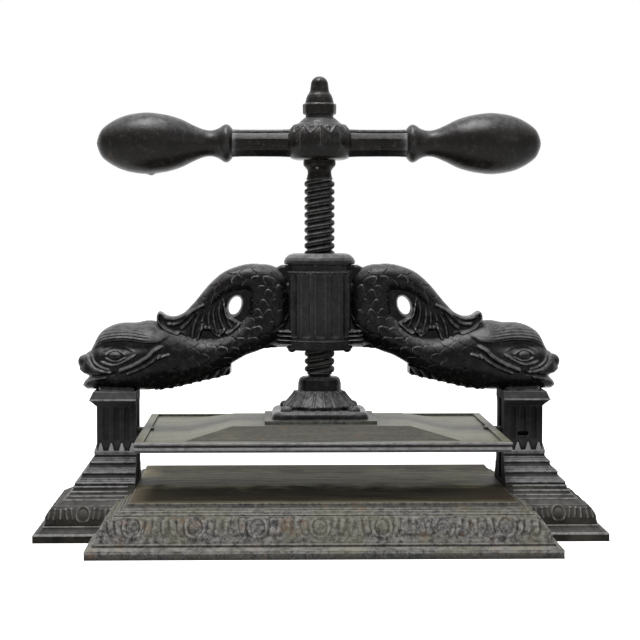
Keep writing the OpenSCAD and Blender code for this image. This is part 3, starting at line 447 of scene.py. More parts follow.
FAN_OUTLINE = [
    (100, 77), (108.5, 71.5), (116.8, 66.4), (125.1, 63.3), (132.5, 64.6), (138.2, 67.6),
    (140.2, 61.2), (136.6, 54.4), (130.2, 49.3), (123, 46.8), (118.2, 47.8),
    (115.8, 42.5), (109.8, 38.6), (104, 43), (101.2, 50.5),
    (97, 51.2), (93.2, 50.2), (90.2, 47.2), (86.1, 45.2), (82.9, 48.4),
    (79.3, 47.2), (75.2, 49.4), (71.2, 52.6), (67.2, 57.6), (71.5, 60.5),
    (76.6, 64.4), (79.2, 70), (80.5, 77), (84, 84), (92, 84)]
FAN_ROOT = (90, 80)
# Rolled rims of the leaves: points, width, height
FAN_RIMS = [
    ([(132.5, 65), (138, 67), (139.6, 61.2), (135.8, 54.8), (129.6, 50), (122.5, 47.8),
      (118.2, 48.8)], 2.6, 2.6),
    ([(118, 48), (115.4, 43), (109.8, 39.8), (104.6, 43.8), (102, 50.5), (101, 56), (98, 57)],
     1.9, 1.6),
    ([(93.6, 51), (90, 48), (86.1, 46.4), (83.4, 49.4), (82, 54)], 1.9, 1.6),
    ([(82, 50), (79.2, 48.6), (75.6, 50.6), (72, 53.6), (68.4, 57.6)], 1.9, 1.6)]
FAN_RIBS = [
    [(96, 76.5), (108, 69), (117, 60.6), (125, 56.6), (133, 58)],
    [(97, 75), (107, 66.6), (114.5, 57), (121, 51.5)],
    [(95, 76), (103, 66), (108.2, 55), (109.8, 42)],
    [(93, 77), (98.4, 68), (101.6, 58)],
    [(91, 78), (95, 68), (95.4, 58), (93.8, 52)],
    [(88, 79), (91.4, 68), (90.2, 56), (86.6, 47.6)],
    [(85, 78), (86.6, 68), (84.4, 58), (80.4, 50.4)],
    [(82.4, 76), (81.8, 67), (78, 58), (74.4, 53.4)],
    [(80.8, 72), (78, 63.6), (71.4, 58)]]
# Solid ground behind the leaves
FAN_GROUND = [
    (115.7, 58), (133, 46), (128, 36), (101.2, 32), (80.9, 38), (63.4, 52), (57.6, 66),
    (54.7, 88), (72.1, 88), (86.7, 81), (101.2, 69)]


def tail_fan(A, B):
    """Half thickness of the tail fan with its rims and ribs."""
    inside = inside_outline(A, B, smooth_path(FAN_OUTLINE, 6, closed=True))
    h = 9.4 + 0.115 * np.hypot(A - FAN_ROOT[0], B - FAN_ROOT[1])
    h = h - 4.0 * (1 - np.clip(inside / 2.4, 0, 1)) ** 2 - 1.8 * step01((inside - 1.5) / 4)
    h += rolls(A, B, FAN_RIMS, 0.06, 0.1)
    h += rolls(A, B, [(points, 2.5, 1.9) for points in FAN_RIBS], 0.12, 0.1)
    return np.where(inside > 0, h, inside * 4)


# Middles and half widths of eyeball and nose
EYE_AT = (174.8, 30.7)
EYE_HALF = (5.0, 3.5)
NOSE_AT = (202, 24.2)
NOSE_HALF = (6.4, 6.8)
# Lids and folds round the eye, then lips, cheeks and jaw: points, width, height
EYE_FOLDS = [
    ([(184.5, 30), (180, 33.6), (174.9, 35.2), (169.6, 33.8), (164.5, 30.4)], 1.5, 1.9),
    ([(184.5, 29.6), (179.2, 27), (174.3, 26), (169.5, 27), (164.3, 30.2)], 1.3, 1.6),
    ([(189.2, 26.8), (183.5, 24.1), (176.1, 22.7), (169.2, 24.8), (162.3, 28.4), (155.6, 32.6)],
     1.9, 1.9),
    ([(186, 33.8), (179.5, 37), (172.6, 38.4), (164.6, 37), (157.9, 33.6)], 1.6, 0.9)]
FACE_ROLLS = [
    ([(199.4, 31.5), (197.8, 25), (192.2, 19.4), (184.6, 16.9), (176.0, 16.4)], 2.4, 3.0),
    ([(195.8, 31.8), (193.6, 25.6), (188.9, 21.6), (183.5, 19.4), (177.6, 18.6)], 1.8, 1.8),
    ([(173.2, 16.8), (162.3, 20.9), (153.7, 25.0), (146.3, 29.8), (140.6, 35.2), (132.6, 39)],
     2.6, 2.8),
    ([(166, 14.8), (152.0, 20.4), (144.0, 25.2), (138.4, 29.4), (134.6, 32.6)], 2.0, 1.7),
    ([(139, 27.6), (134.4, 29.6), (127.6, 31.8)], 1.8, 1.5),
    ([(203.6, 5.6), (198.4, 9.6), (189.6, 10.8), (180.6, 12.6)], 2.4, 2.0)]
GILL = [(133, 52), (128, 44), (127, 34), (131, 24), (136, 14)]
BROW = [
    (197, 33), (189.8, 39.1), (183.5, 42.0), (172.6, 43.6), (162.3, 43.4), (153.7, 42.2),
    (146.3, 41.4), (137.7, 42.1), (130, 46)]
MOUTH = [(212, 12.6), (200, 12.8), (190, 13.1), (183, 13.8), (175, 14.9)]
# Foremost points of jaw and upper lip: height, distance from the axis
SNOUT = np.array([
    (0, 202.5), (3, 204.5), (8, 202.4), (11, 199.4), (12.4, 198.6), (13.4, 200.8), (15, 204.2),
    (18, 207.2), (21, 208.8), (24, 209.3), (27, 208.6), (29.5, 206), (31.2, 202), (33, 200.6),
    (37, 199)])
FIN_LINE = [(140.5, 1.6), (125.5, 3.6), (105.9, 8.2), (86.3, 12.6), (76.2, 15.8)]
STRAP = [(45.3, 99), (39, 104.4), (33, 107.4), (20, 107.6), (20, 88), (44.6, 88)]
GUSSET = [
    (64.9, 30), (57, 33.4), (48.9, 35.4), (37, 36.6), (20, 36.8), (20, 92), (40, 92), (46, 58)]
# Rolls where the body meets the boss: height and reach of each
NECK_ROLLS = ((50.5, 37), (46.8, 38), (43.1, 39), (39.4, 45))
# Pierced loop between body and tail
LOOP_AT = (72.9, 72.6)
LOOP_HALF = (5.0, 8.0)
LOOP_TURN = math.radians(22)


def dolphin_head(A, B, h):
    """Brow, striated forehead, eye, lips, nose, mouth, chin and gill added to the body."""
    brow = smooth_path(BROW)[::-1]
    above = B - np.interp(A, brow[:, 0], brow[:, 1])
    head = step01((198 - A) / 8) * step01((A - 128) / 10)
    h = h + head * 2.2 * step01((above + 1.2) / 2.4) * np.exp(-np.clip(above, 0, 99) / 9)
    lines = 0.36 * np.cos(2 * np.pi * above / 2.4) * step01(above / 1.5) * step01((14 - above) / 5)
    h += lines * step01((196 - A) / 8) * step01((A - 144) / 14)
    h -= 5.2 * bell(A - 171, 18) * bell(B - 37.8, 4.4)
    h -= 1.6 * bell(A - 171, 12) * bell(B - 29, 6)
    h += 2.6 * half_ball((A - EYE_AT[0]) / EYE_HALF[0], (B - EYE_AT[1]) / EYE_HALF[1])
    h += rolls(A, B, EYE_FOLDS)
    h += rolls(A, B, FACE_ROLLS, 0.06, 0.12)
    nose_a = (A - NOSE_AT[0]) / NOSE_HALF[0]
    nose_b = (B - NOSE_AT[1]) / NOSE_HALF[1]
    h = soft_max(h, root(8.8 ** 2 * (1 - nose_a ** 2 - nose_b ** 2)), 2.0)
    mouth, along = path_distance(A, B, smooth_path(MOUTH))
    gap = 2.6 * (1 - along) + 0.8
    depth = 26 * np.clip(1 - 2.2 * along, 0, 1) ** 1.2 + 3.0 * (1 - along) + 1.0
    h -= depth * step01(1 - mouth / gap)
    h -= 1.8 * bell(A - 174.4, 1.8) * bell(B - 15.6, 1.8)
    front = np.interp(B, SNOUT[:, 0], SNOUT[:, 1])
    h = np.where(B < SNOUT[-1, 0], np.minimum(h, root(70 * (front - A))), h)
    chin = np.minimum.reduce([A - 158, 190.5 - A, 5 - B])
    chin_h = np.where(chin > 0, 21.5 * np.sqrt(np.clip(chin / 4, 0, 1)), chin * 6)
    h = soft_max(h, chin_h, 4.0)
    return h + ridge(A, B, GILL, 4.0, 0.4)


def dolphin_fin(A, B, h):
    """Scalloped fin under the belly with a row of twisted rope above it."""
    line = smooth_path(FIN_LINE, 12)
    _, along = path_distance(A, B, line)
    lobes = np.abs(np.sin(np.pi * FIN_LOBES * along))
    under = np.interp(A, line[::-1, 0], line[::-1, 1]) - B
    fin = np.minimum.reduce([1.8 * lobes + 0.5 - under, A - 76, 140 - A, under + 12])
    h = np.maximum(h, np.where(fin > 0, 5.6 + 1.2 * lobes * step01(fin / 3), fin * 4))
    rope = np.abs(under + 2.2) / 3.4
    twist = 0.6 + 0.4 * np.sin(2 * np.pi * (along * FIN_LOBES + under / 9))
    rope_h = np.where((A > 77) & (A < 142), 11.2 + 3.6 * twist * half_ball(rope), 0)
    return np.where(rope < 1, np.maximum(h, rope_h), h)


def plate(A, B, outline, half, edge):
    """Flat plate with a rounded edge, as half thickness."""
    inside = inside_outline(A, B, np.array(outline, float))
    rounding = 2 * (1 - np.clip(inside / edge, 0, 1)) ** 2
    return np.where(inside > 0, half - rounding, inside * 4)


def dolphin_relief(A, B):
    """Half thickness of the whole dolphin."""
    h, u, v = dolphin_body(A, B)
    scaly = 0.4 * step01((u - 72) / 10) + 0.6 * step01((u - 90) / 20)
    h = h + scaly * step01((h - 1) / 5) * scales(u - 3, v)
    h = dolphin_head(A, B, h)
    h = np.maximum(h, plate(A, B, FAN_GROUND, 9.0, 2.0))
    h = soft_max(h, tail_fan(A, B), 0.7)
    da = A - LOOP_AT[0]
    db = B - LOOP_AT[1]
    la = da * math.cos(LOOP_TURN) + db * math.sin(LOOP_TURN)
    lb = -da * math.sin(LOOP_TURN) + db * math.cos(LOOP_TURN)
    loop = (np.hypot(la / LOOP_HALF[0], lb / LOOP_HALF[1]) - 1) * 5.6
    rim = 5.0 * np.sqrt(np.clip(loop, 0, None)) + 2.0 * loop
    h = np.minimum(h, np.where(loop > 0, rim, loop * 3))
    h = dolphin_fin(A, B, h)
    h = np.maximum(h, plate(A, B, STRAP, 6.5, 3.0))
    h = np.maximum(h, plate(A, B, GUSSET, 9.0, 2.5))
    neck = [([(reach, b + 0.4), (33, b), (24, b - 0.3)], 1.9, 6.0) for b, reach in NECK_ROLLS]
    return h + rolls(A, B, neck, 0.3, 0.02)


def dolphin_form(side, step=0.62):
    """Closed mesh of one dolphin: side -1 is left, 1 is right."""
    a = np.arange(MAP_START - 2 * step, MAP_END, step)
    b = np.arange(-2 * step, MAP_TOP, step)
    y = np.arange(-MAP_HALF_Y, MAP_HALF_Y + step, step)
    A, B = np.meshgrid(a, b, indexing="ij")
    h = np.where(A < MAP_START + 1, -2, dolphin_relief(A, B))
    field = np.abs(y)[None, None, :] - h[:, :, None]
    field = np.maximum(field, -4 * B[:, :, None])
    points, faces = surface_net(field, np.array([a[0], b[0], y[0]]), step)
    placed = np.stack([side * points[:, 0], points[:, 2], COLUMN_Z + points[:, 1]], 1)
    return Form().add(placed, faces)


# Lathe and relief pieces

def boss_form():
    """Fluted boss with cap, bored for the nut and the screw."""
    outline = [
        (19.1, 0), (28.2, 0), (28.9, 1.2), (28.2, 2.4), (28.2, 4), (28.6, 4.6), (28.6, 58.4),
        (28.2, 59), (29.0, 60), (28.6, 61), (26, 61.8), (26, 66.6), (30.2, 67.2), (30.8, 68.4),
        (30.5, 70.4), (29.0, 73.0), (26.4, 75.3), (22.6, 76.5), (13.7, 76.5), (13.7, 56.2),
        (19.1, 56.2)]
    outline = spaced(eased(outline, 0.5), 1.3)

    def flutes(turn, r, z):
        across = off_leaf(turn, BOSS_FLUTES, math.pi / 2) * math.pi * BOSS_R / BOSS_FLUTES
        past_end = np.minimum(z - 8, 56 - z)
        d = np.hypot(across, np.clip(past_end, -4, 0))
        cut = 1.7 * np.clip(1 - (d / 4.2) ** 2, 0, 1) ** 0.8
        return -np.where((r > 27.6) & (past_end > -4.2), cut, 0)

    return Form().grid(turned(outline, BOSS_FLUTES * 24, flutes, BOSS_Z), wrap_rows=True)


def screw_form():
    """Thrust head, journal, two-start thread, neck, collar, driving square and stud."""
    lower = [
        (0, 100.1), (15.4, 100.1), (16, 100.7), (16, 109.6), (15.5, 110.1), (9.6, 110.1),
        (9.6, THREAD_Z - 0.4)]
    upper = [
        (10.6, THREAD_TOP + 0.8), (10.2, THREAD_TOP + 3), (10.1, 309.8), (10.7, 311.6),
        (12.2, 313.4), (13.7, 315.0), (13.9, 316.0), (13.9, 319.0), (13.2, 319.7), (0, 319.7)]
    heights = np.linspace(THREAD_Z, THREAD_TOP, 340, endpoint=False)
    thread = np.stack([np.full(len(heights), THREAD_R), heights], 1)
    outline = np.vstack([eased(lower, 0.4, closed=False), thread, eased(upper, 0.5, closed=False)])

    def cut(turn, r, z):
        x = off_middle(z / PITCH - THREAD_STARTS * turn / (2 * math.pi))
        ramp = np.clip((0.9 - x) / 0.55, 0, 1)
        crest = 0.5 * ramp + 0.5 * step01(ramp)
        ends = step01((z - THREAD_Z) / 1.2) * step01((THREAD_TOP - z) / 2.2)
        on_thread = (r > THREAD_R - 0.01) & (z > THREAD_Z - 0.1) & (z < THREAD_TOP)
        return np.where(on_thread, -THREAD_DEPTH * (1 - crest * ends), 0)

    form = Form().grid(turned(outline, 96, cut))
    square = [(8, 8), (-8, 8), (-8, -8), (8, -8)]
    form.tube([[(x, y, z) for x, y in square] for z in (319, 355.5)])
    stud = eased([(0, 355), (5.2, 355), (5.2, 377), (4.6, 377.5), (0, 377.5)], 0.3, closed=False)
    return form.grid(turned(stud, 32))


# Neck and bulb: share of the length, share of the greatest swelling
GRIP_ROWS = [
    (0, 0.22), (0.022, 0.12), (0.055, 0.03), (0.095, 0), (0.15, 0.07), (0.23, 0.31),
    (0.32, 0.62), (0.42, 0.84), (0.52, 0.96), (0.585, 1), (0.66, 0.97), (0.75, 0.86),
    (0.83, 0.66), (0.90, 0.38), (0.955, 0.06), (0.985, -0.34), (1.0, -0.737)]
# Neck radius, swelling of the bulb, start and length of both along the arm
GRIP_R = 11.2
GRIP_SWELL = 15.2
GRIP_START = ARM_REACH + 8.4
GRIP_LENGTH = 107
# Rings of an arm: distance from the axis, size
ARM_ROWS = [
    (12, 1.08), (24, 1.08), (28, 1.06), (34, 1.04), (50, 1.03), (66, 1.03), (72, 1.05),
    (ARM_REACH + 1.0, 1.08)]


def grip_outline():
    """Radius and distance from the axis of ring, neck and bulb."""
    rows = smooth_path(GRIP_ROWS, 7)
    bulb = np.stack([GRIP_R + GRIP_SWELL * rows[:, 1], GRIP_START + GRIP_LENGTH * rows[:, 0]], 1)
    ring = bowed((13.8, ARM_REACH), (15.0, ARM_REACH + 7.8), -2.0, 10)
    start = [(0, ARM_REACH - 1), (12.5, ARM_REACH - 1), (13.4, ARM_REACH - 0.4)]
    bulb[-1, 0] = 0
    return np.vstack([start, ring, bulb[1:]])


def handle_form():
    """Hub with a band of leaves, bevelled arms, rings and weighted bulbs."""
    shell = smooth_path([
        (19.6, 0), (24.2, 1.4), (26.6, 4.8), (27.4, 10), (27.2, 16), (26.0, 21.4), (23.6, 26.2),
        (20.2, 30.2), (17.2, 32.4)], 7)
    rim = [(16.6, 33.2), (13.4, 36.0), (12.8, 36.4), (9, 36.4), (9, 0)]
    hub = spaced(np.vstack([shell, rim]), 0.8)

    def leaves(turn, r, z):
        low = step01((z - 5) / 9)
        out = np.zeros(r.shape)
        for shift, height, tip in ((0.0, 1.9, 31.2), (0.5, 0.5, 30.6)):
            x = off_leaf(turn, HUB_PETALS, math.pi / 2, shift)
            under = tip - 8.0 * x ** 1.5 - z
            swell = np.sqrt(np.clip(1 - 0.98 * x * x, 0, 1))
            lip = 0.7 * bell(under - 1.4, 1.0) + 0.7 * bell(x, 0.15)
            out = np.maximum(out, low * step01(under / 1.2) * (height * swell + lip))
        return np.where(r > 16.5, out, 0)

    def nub(turn, r, z):
        """Small lump of flash left under the left bulb."""
        return 1.3 * bell(z - 144.5, 2.8) * bell((turn - math.pi) * r, 3.2)

    form = Form().grid(turned(hub, 280, leaves, HUB_Z), wrap_rows=True)
    outline = spaced(grip_outline(), 1.4, closed=False)
    upper = [(10.2, 3.2), (7.4, 7.8), (6.3, 8.2), (6.2, 9.8), (4.6, 11.2)]
    lower = [(-10, -5.6), (-4.6, -11), (4.6, -11), (10, -5.6)]
    y, z = eased(upper + [(-y, z) for y, z in upper[::-1]] + lower, 0.6).T
    for side in (-1, 1):
        ring = turned(outline, 72, nub if side < 0 else None)
        form.grid(np.stack([side * ring[..., 2], ring[..., 1], ARM_Z + ring[..., 0]], -1))
        form.tube([np.stack([np.full(len(y), side * x), y * size, ARM_Z + z * size], 1)
                   for x, size in ARM_ROWS])
    return form


def finial_form():
    """Acorn nut: lip round the washer, worn faceted ring, shoulder and tapered dome."""
    arc = np.radians(np.arange(0, 91, 9))
    top = [(7.5 * math.cos(a), 23.7 + 7.5 * math.sin(a)) for a in arc]
    outline = [
        (5.4, 0), (12.2, 0), (12.4, -1.8), (13.4, -1.8), (14.1, -0.6), (14.3, 6.6), (13.7, 7.6),
        (12.4, 7.9), (12.0, 9.8), (11.3, 12.6), (10.2, 15.2), (8.9, 17.0), (8.2, 18.8),
        *top, (0, 31.2), (0, 20), (5.4, 20)]
    outline = spaced(eased(outline, 0.6), 0.9)
    outline[:, 0] = np.maximum(outline[:, 0], 0)

    def facets(turn, r, z):
        return np.where((r > 13) & (z < 7.6), 0.22 * np.cos(10 * turn), 0)

    return Form().grid(turned(outline, 120, facets, FINIAL_Z), wrap_rows=True)


def socket_form():
    """Cushioned square flange that grows into a leafy dome with a plain collar."""
    columns = 288
    turn = np.linspace(0, 2 * np.pi, columns, endpoint=False)
    c = np.abs(np.cos(turn))
    s = np.abs(np.sin(turn))

    def square(half, corner):
        flat = half / np.maximum(c, s)
        inner = half - corner
        middle = inner * (c + s)
        reach = middle + np.sqrt(np.maximum(middle ** 2 - 2 * inner ** 2 + corner ** 2, 0))
        return np.where(np.minimum(c, s) * flat <= inner, flat, reach)

    rows = [(square(40.6, 12.6), 0.0), (square(41, 13), 0.6)]
    for a in np.radians(np.arange(0, 91, 11.25)):
        inset = 5 * (1 - math.cos(a))
        rows.append((square(41 - inset, 13 - inset), 1.6 + 5 * math.sin(a)))
    for t in (0.25, 0.5, 0.75):
        rows.append((square(36, 8) * (1 - t) + DOME_R * t, FLANGE_Z + 0.2 * t))
    dome = smooth_path([(DOME_R, FLANGE_Z), (30.2, 9.0), (27.0, 12.4), (23.8, 16.0), (21.2, 19.4),
                        (DOME_TOP_R, 22.4)], 6)
    top = [
        (18.9, 22.8), (18.8, 23.4), (18.6, 28.2), (17.9, 31.6), (16.6, 33.6), (14.6, 34.5),
        (9.7, 34.6), (9.7, 12), (16.3, 11.4), (16.3, 0)]
    for r, z in np.vstack([dome, spaced(eased(top, 0.5, closed=False), 1.0, closed=False)]):
        rows.append((np.full(columns, r), z))
    r = np.stack([row[0] for row in rows])
    z = np.repeat(np.array([[row[1]] for row in rows]), columns, 1)
    way = (DOME_R - r) / (DOME_R - DOME_TOP_R)
    on_dome = (z > 6.7) & (z < 22.5) & (r > DOME_TOP_R - 0.1) & (r < DOME_R + 0.1)
    width = 0.25 + 0.85 * np.sin(math.pi * np.clip(way, 0, 1) ** 0.8) ** 0.7
    lift = np.zeros(r.shape)
    for shift, height in ((0.0, 1.8), (0.5, 1.0)):
        x = off_leaf(turn, DOME_LEAVES, 0.2, shift)
        leaf = step01((width - x) / 0.3)
        veins = 0.14 * np.cos(2 * math.pi * (way * 3 - x * 1.3)) * step01(x / 0.2)
        veins *= 0.5 + 0.5 * np.sin(3 * turn + 0.6)
        rib = 0.7 * bell(x, 0.11)
        lift = np.maximum(lift, leaf * (height * (1 - 0.5 * x) + veins + rib))
    fade = step01(way / 0.15) * step01((1 - way) / 0.1)
    lift = np.where(on_dome, lift * fade, 0)
    r = r + 0.75 * lift
    z = PLATEN_TOP + z + 0.65 * lift
    return Form().grid(np.stack([r * np.cos(turn), r * np.sin(turn), z], -1), wrap_rows=True)


def screw_head_form(x, y, turn):
    """Round-headed screw in a corner of the socket's flange; turn is the way of its slot."""
    shank = [(0, -14.6), (2.5, -14.6), (2.5, 0), (5.0, 0)]
    dome = bowed((5.2, 1.0), (0, 4.3), -1.3, 14)
    points = turned(np.vstack([shank, spaced(dome, 0.4, closed=False)]), 64)
    points[-1, :, :2] = 0
    across = np.abs(points[..., 0] * math.sin(turn) - points[..., 1] * math.cos(turn))
    cut = 1.3 * step01((0.8 - across) / 0.3)
    points[..., 2] -= np.where(points[..., 2] > 1.4, np.minimum(cut, points[..., 2] - 1.4), 0)
    return Form().grid(points + (x, y, PLATEN_TOP + FLANGE_Z))


# Wedge at the foot of a flute: place along the wall, spread from it, height, and its faces
WEDGE = [
    (-2.8, -0.3, 0), (2.8, -0.3, 0), (-2.2, FLARE, 0), (2.2, FLARE, 0), (-0.3, -0.3, 7.6),
    (0.3, -0.3, 7.6)]
WEDGE_FACES = [(0, 1, 3, 2), (0, 2, 4), (1, 5, 3), (2, 3, 5, 4), (0, 4, 5, 1)]


def flare_form(side):
    """Wedges between the pointed feet of a column's flutes, on its front, back and outer side."""
    form = Form()
    spots = [(side * (COLUMN_MID + k * FLUTE_PITCH), out * COLUMN_HALF_Y, 0, out)
             for out in (-1, 1) for k in np.arange(-1.5, 2)]
    spots += [(side * COLUMN_OUT, k * FLUTE_PITCH, side, 0) for k in np.arange(-2.5, 3)]
    for x, y, out_x, out_y in spots:
        form.add([(x + out_x * spread + abs(out_y) * along, y + out_y * spread + abs(out_x) * along,
                   SHAFT_Z + z) for along, spread, z in WEDGE], WEDGE_FACES)
    return form


def reed_form(corners, rows, closed=False):
    """Rounded reeds along a wall. A corner is its place and the way out of the wall there; each
    row is a reed's spread from the wall, its height and its radius."""
    form = Form()
    turn = np.linspace(0, 2 * np.pi, REED_SIDES, endpoint=False)
    for spread, z, r in rows:
        out = spread + r * np.cos(turn)
        up = z + r * np.sin(turn)
        form.tube([np.stack([x + a * out, y + b * out, up], 1) for (x, y), (a, b) in corners], closed)
    return form


def three_sides(side, x_in, x_out, half_y):
    """Corners along the front, outer side and back of a wall at one end of the press."""
    return [((side * x_in, -half_y), (0, -1)), ((side * x_out, -half_y), (side, -1)),
            ((side * x_out, half_y), (side, 1)), ((side * x_in, half_y), (0, 1))]


def four_sides(half_x, half_y):
    """Corners all round a plate."""
    return [((x * half_x, y * half_y), (x, y)) for x, y in ((-1, -1), (1, -1), (1, 1), (-1, 1))]


# Reeds that soften the edges of bed and platen: spread, height, radius
BED_REEDS = [
    (-0.45, 40.25, 0.6), (4.0, 36.3, 0.6), (7.1, 34.8, 0.75), (10.1, 32.5, 0.8),
    (26.5, 11.2, 0.8), (31.5, 5.7, 1.7)]
PLATEN_REEDS = [(-0.8, 88.1, 1.0), (-1.5, 83.9, 1.5)]


def foot_reeds():
    """Reeds on a column's capital, its ring and the coved steps of its foot."""
    ring = WING_Z + FOOT_H
    rows = [(5.6, COLUMN_Z - 6.7, 0.7), (1.5, ring + 2.1, 0.9), (1.4, ring + 0.5, 0.7)]
    for i in range(3):
        low = FOOT_H - (i + 1) * STEP_H + 2 * QUIRK
        high = (i * STEP_RUN + (1.6 if i == 0 else 0), FOOT_H - i * STEP_H)
        cove = bowed(high, ((i + 1) * STEP_RUN - QUIRK, low), -0.7, 20)
        for place, r in ((9, 0.5), (15, 0.55)):
            rows.append((cove[place][0] - 0.1, WING_Z + cove[place][1], r))
        rows.append(((i + 1) * STEP_RUN - 0.75, WING_Z + low - 0.45, 0.95))
    return rows


def wing_reeds():
    """Reeds on the hollow moulding of a wing, below its eggs and on its plinth's edge."""
    hollow = bowed((0, WING_Z), (15, 29), -2.2, 20)
    places = ((1, 0.8), (5, 0.9), (9, 0.8), (13, 0.8))
    return [(hollow[k][0], hollow[k][1] - 0.1, r) for k, r in places] + [
        (23.9, 12.3, 0.7), (31.2, 6.1, 1.4)]


# Place of the dart between two eggs
DART = SKIRT_PITCH / 2
# Leaves and dart beside an egg: points, width, height
EGG_LEAVES = [
    ([(9.0, 5.4), (11.0, 9), (12.2, 14), (12.4, 20.4)], 3.2, 1.6),
    ([(15.2, 5.0), (16.8, 9), (17.8, 14), (18.2, 19.8)], 3.4, 1.6),
    ([(DART, 4.6), (DART, 9), (DART, 15), (DART, 21.4)], 3.0, 1.7)]


def egg_unit(u, v, size):
    """Height of one egg in its ring with two leaves and half a dart on each side. u runs
    along the moulding from the egg's middle, v up it; size is the moulding's width."""
    k = size / SKIRT_BAND
    x = np.abs(u) / k
    y = v / k
    ring = np.hypot(x / 6.7, (y - 13.4) / 8.7)
    h = 1.5 * half_ball(ring / 0.76)
    h = np.maximum(h, 1.7 * bell(ring - 1.08, 0.21) * step01((y - 2) / 5))
    for row in EGG_LEAVES:
        h = np.maximum(h, ridge(x, y, *row, 0.3, 0.12))
    for middle, level in ((12.5, 19.8), (18.6, 19.2)):
        h = np.maximum(h, 2.0 * half_ball((x - middle) / 2.6, (y - level) / 2.4))
    return h * k


def ornament(profile, columns, width, pitch, back=1.2):
    """Closed band of relief on a moulding. profile holds spread and height from the top edge
    down; each column is its start, its way out, its place along the side, how that place
    moves with the spread, and the place of an egg's middle."""
    start, lead, along, skew, middle = [np.array(part, float) for part in zip(*columns)]
    way = np.gradient(profile, axis=0)
    way /= np.linalg.norm(way, axis=1)[:, None]
    v = np.concatenate([[0], np.cumsum(np.linalg.norm(np.diff(profile, axis=0), axis=1))])
    v = width * (1 - v / v[-1])
    rows = []
    for (s, z), (way_s, way_z), level in zip(profile, way, v):
        u = along + skew * s - middle
        wear = 0.86 + 0.1 * np.sin(0.31 * u + 0.2 * level) + 0.06 * np.sin(0.83 * u - 0.47 * level)
        u = (u + pitch / 2) % pitch - pitch / 2
        h = 0.15 + wear * egg_unit(u, np.full(u.shape, level), width)
        h *= step01(level / 1.2) * step01((width - level) / 1.2)
        rows.append(np.column_stack([start + lead * (s - way_z * h)[:, None], z + way_s * h]))
    for s, z in profile[::-1]:
        rows.append(np.insert(start + lead * (s - back), 2, z - 0.4 * back, axis=1))
    total = len(rows)
    count = len(columns)
    faces = grid_faces(total, count, True, False).tolist()
    faces.append([i * count for i in range(total)])
    faces.append([i * count + count - 1 for i in range(total)][::-1])
    return Form().add(np.stack(rows), faces)


def band_columns(place, half, base, near, far, step, middles):
    """Columns along three walls: out along a first leg, across, and back along the other. Legs
    run from near to far and spread from base, the cross wall lies at far and is half wide to
    each side. place turns a point across and along into X and Y; middles are of legs and cross."""
    columns = []

    def leg(side, places):
        for q in places:
            w = (q - base) / (far - base)
            columns.append((place(side * half, q), place(side, w), q, w, middles[0]))

    leg(-1, np.arange(near, far, step))
    for p in np.arange(-half, half + 0.01, step):
        columns.append((place(p, far), place(p / half, 1), p, p / half, middles[1]))
    leg(1, np.arange(far, near, -step))
    return columns


def skirt_eggs(front):
    """Eggs of the bed's skirt: part of a side, the front or back, part of a side."""
    columns = band_columns(lambda p, q: (p, front * q), BED_HALF_X, 0.0, 42.0, BED_HALF_Y, 0.7,
                           (0.0, 3.6 * front))
    profile = bowed((11.9, 31.8), (25.9, 11.8), 1.6, 40)
    return ornament(profile, columns, SKIRT_BAND, SKIRT_PITCH)


def wing_eggs(side):
    """Eggs of one wing: front, outer side and back."""
    columns = band_columns(lambda p, q: (side * q, p), FOOT_HALF_Y, BED_HALF_X, BED_HALF_X + 12,
                           FOOT_OUT, 0.6, (198.6, 0.0))
    profile = bowed((15.6, 29.0), (24.0, 12.5), 1.4, 34)
    return ornament(profile, columns, WING_BAND, WING_PITCH, 1.0)


# Materials

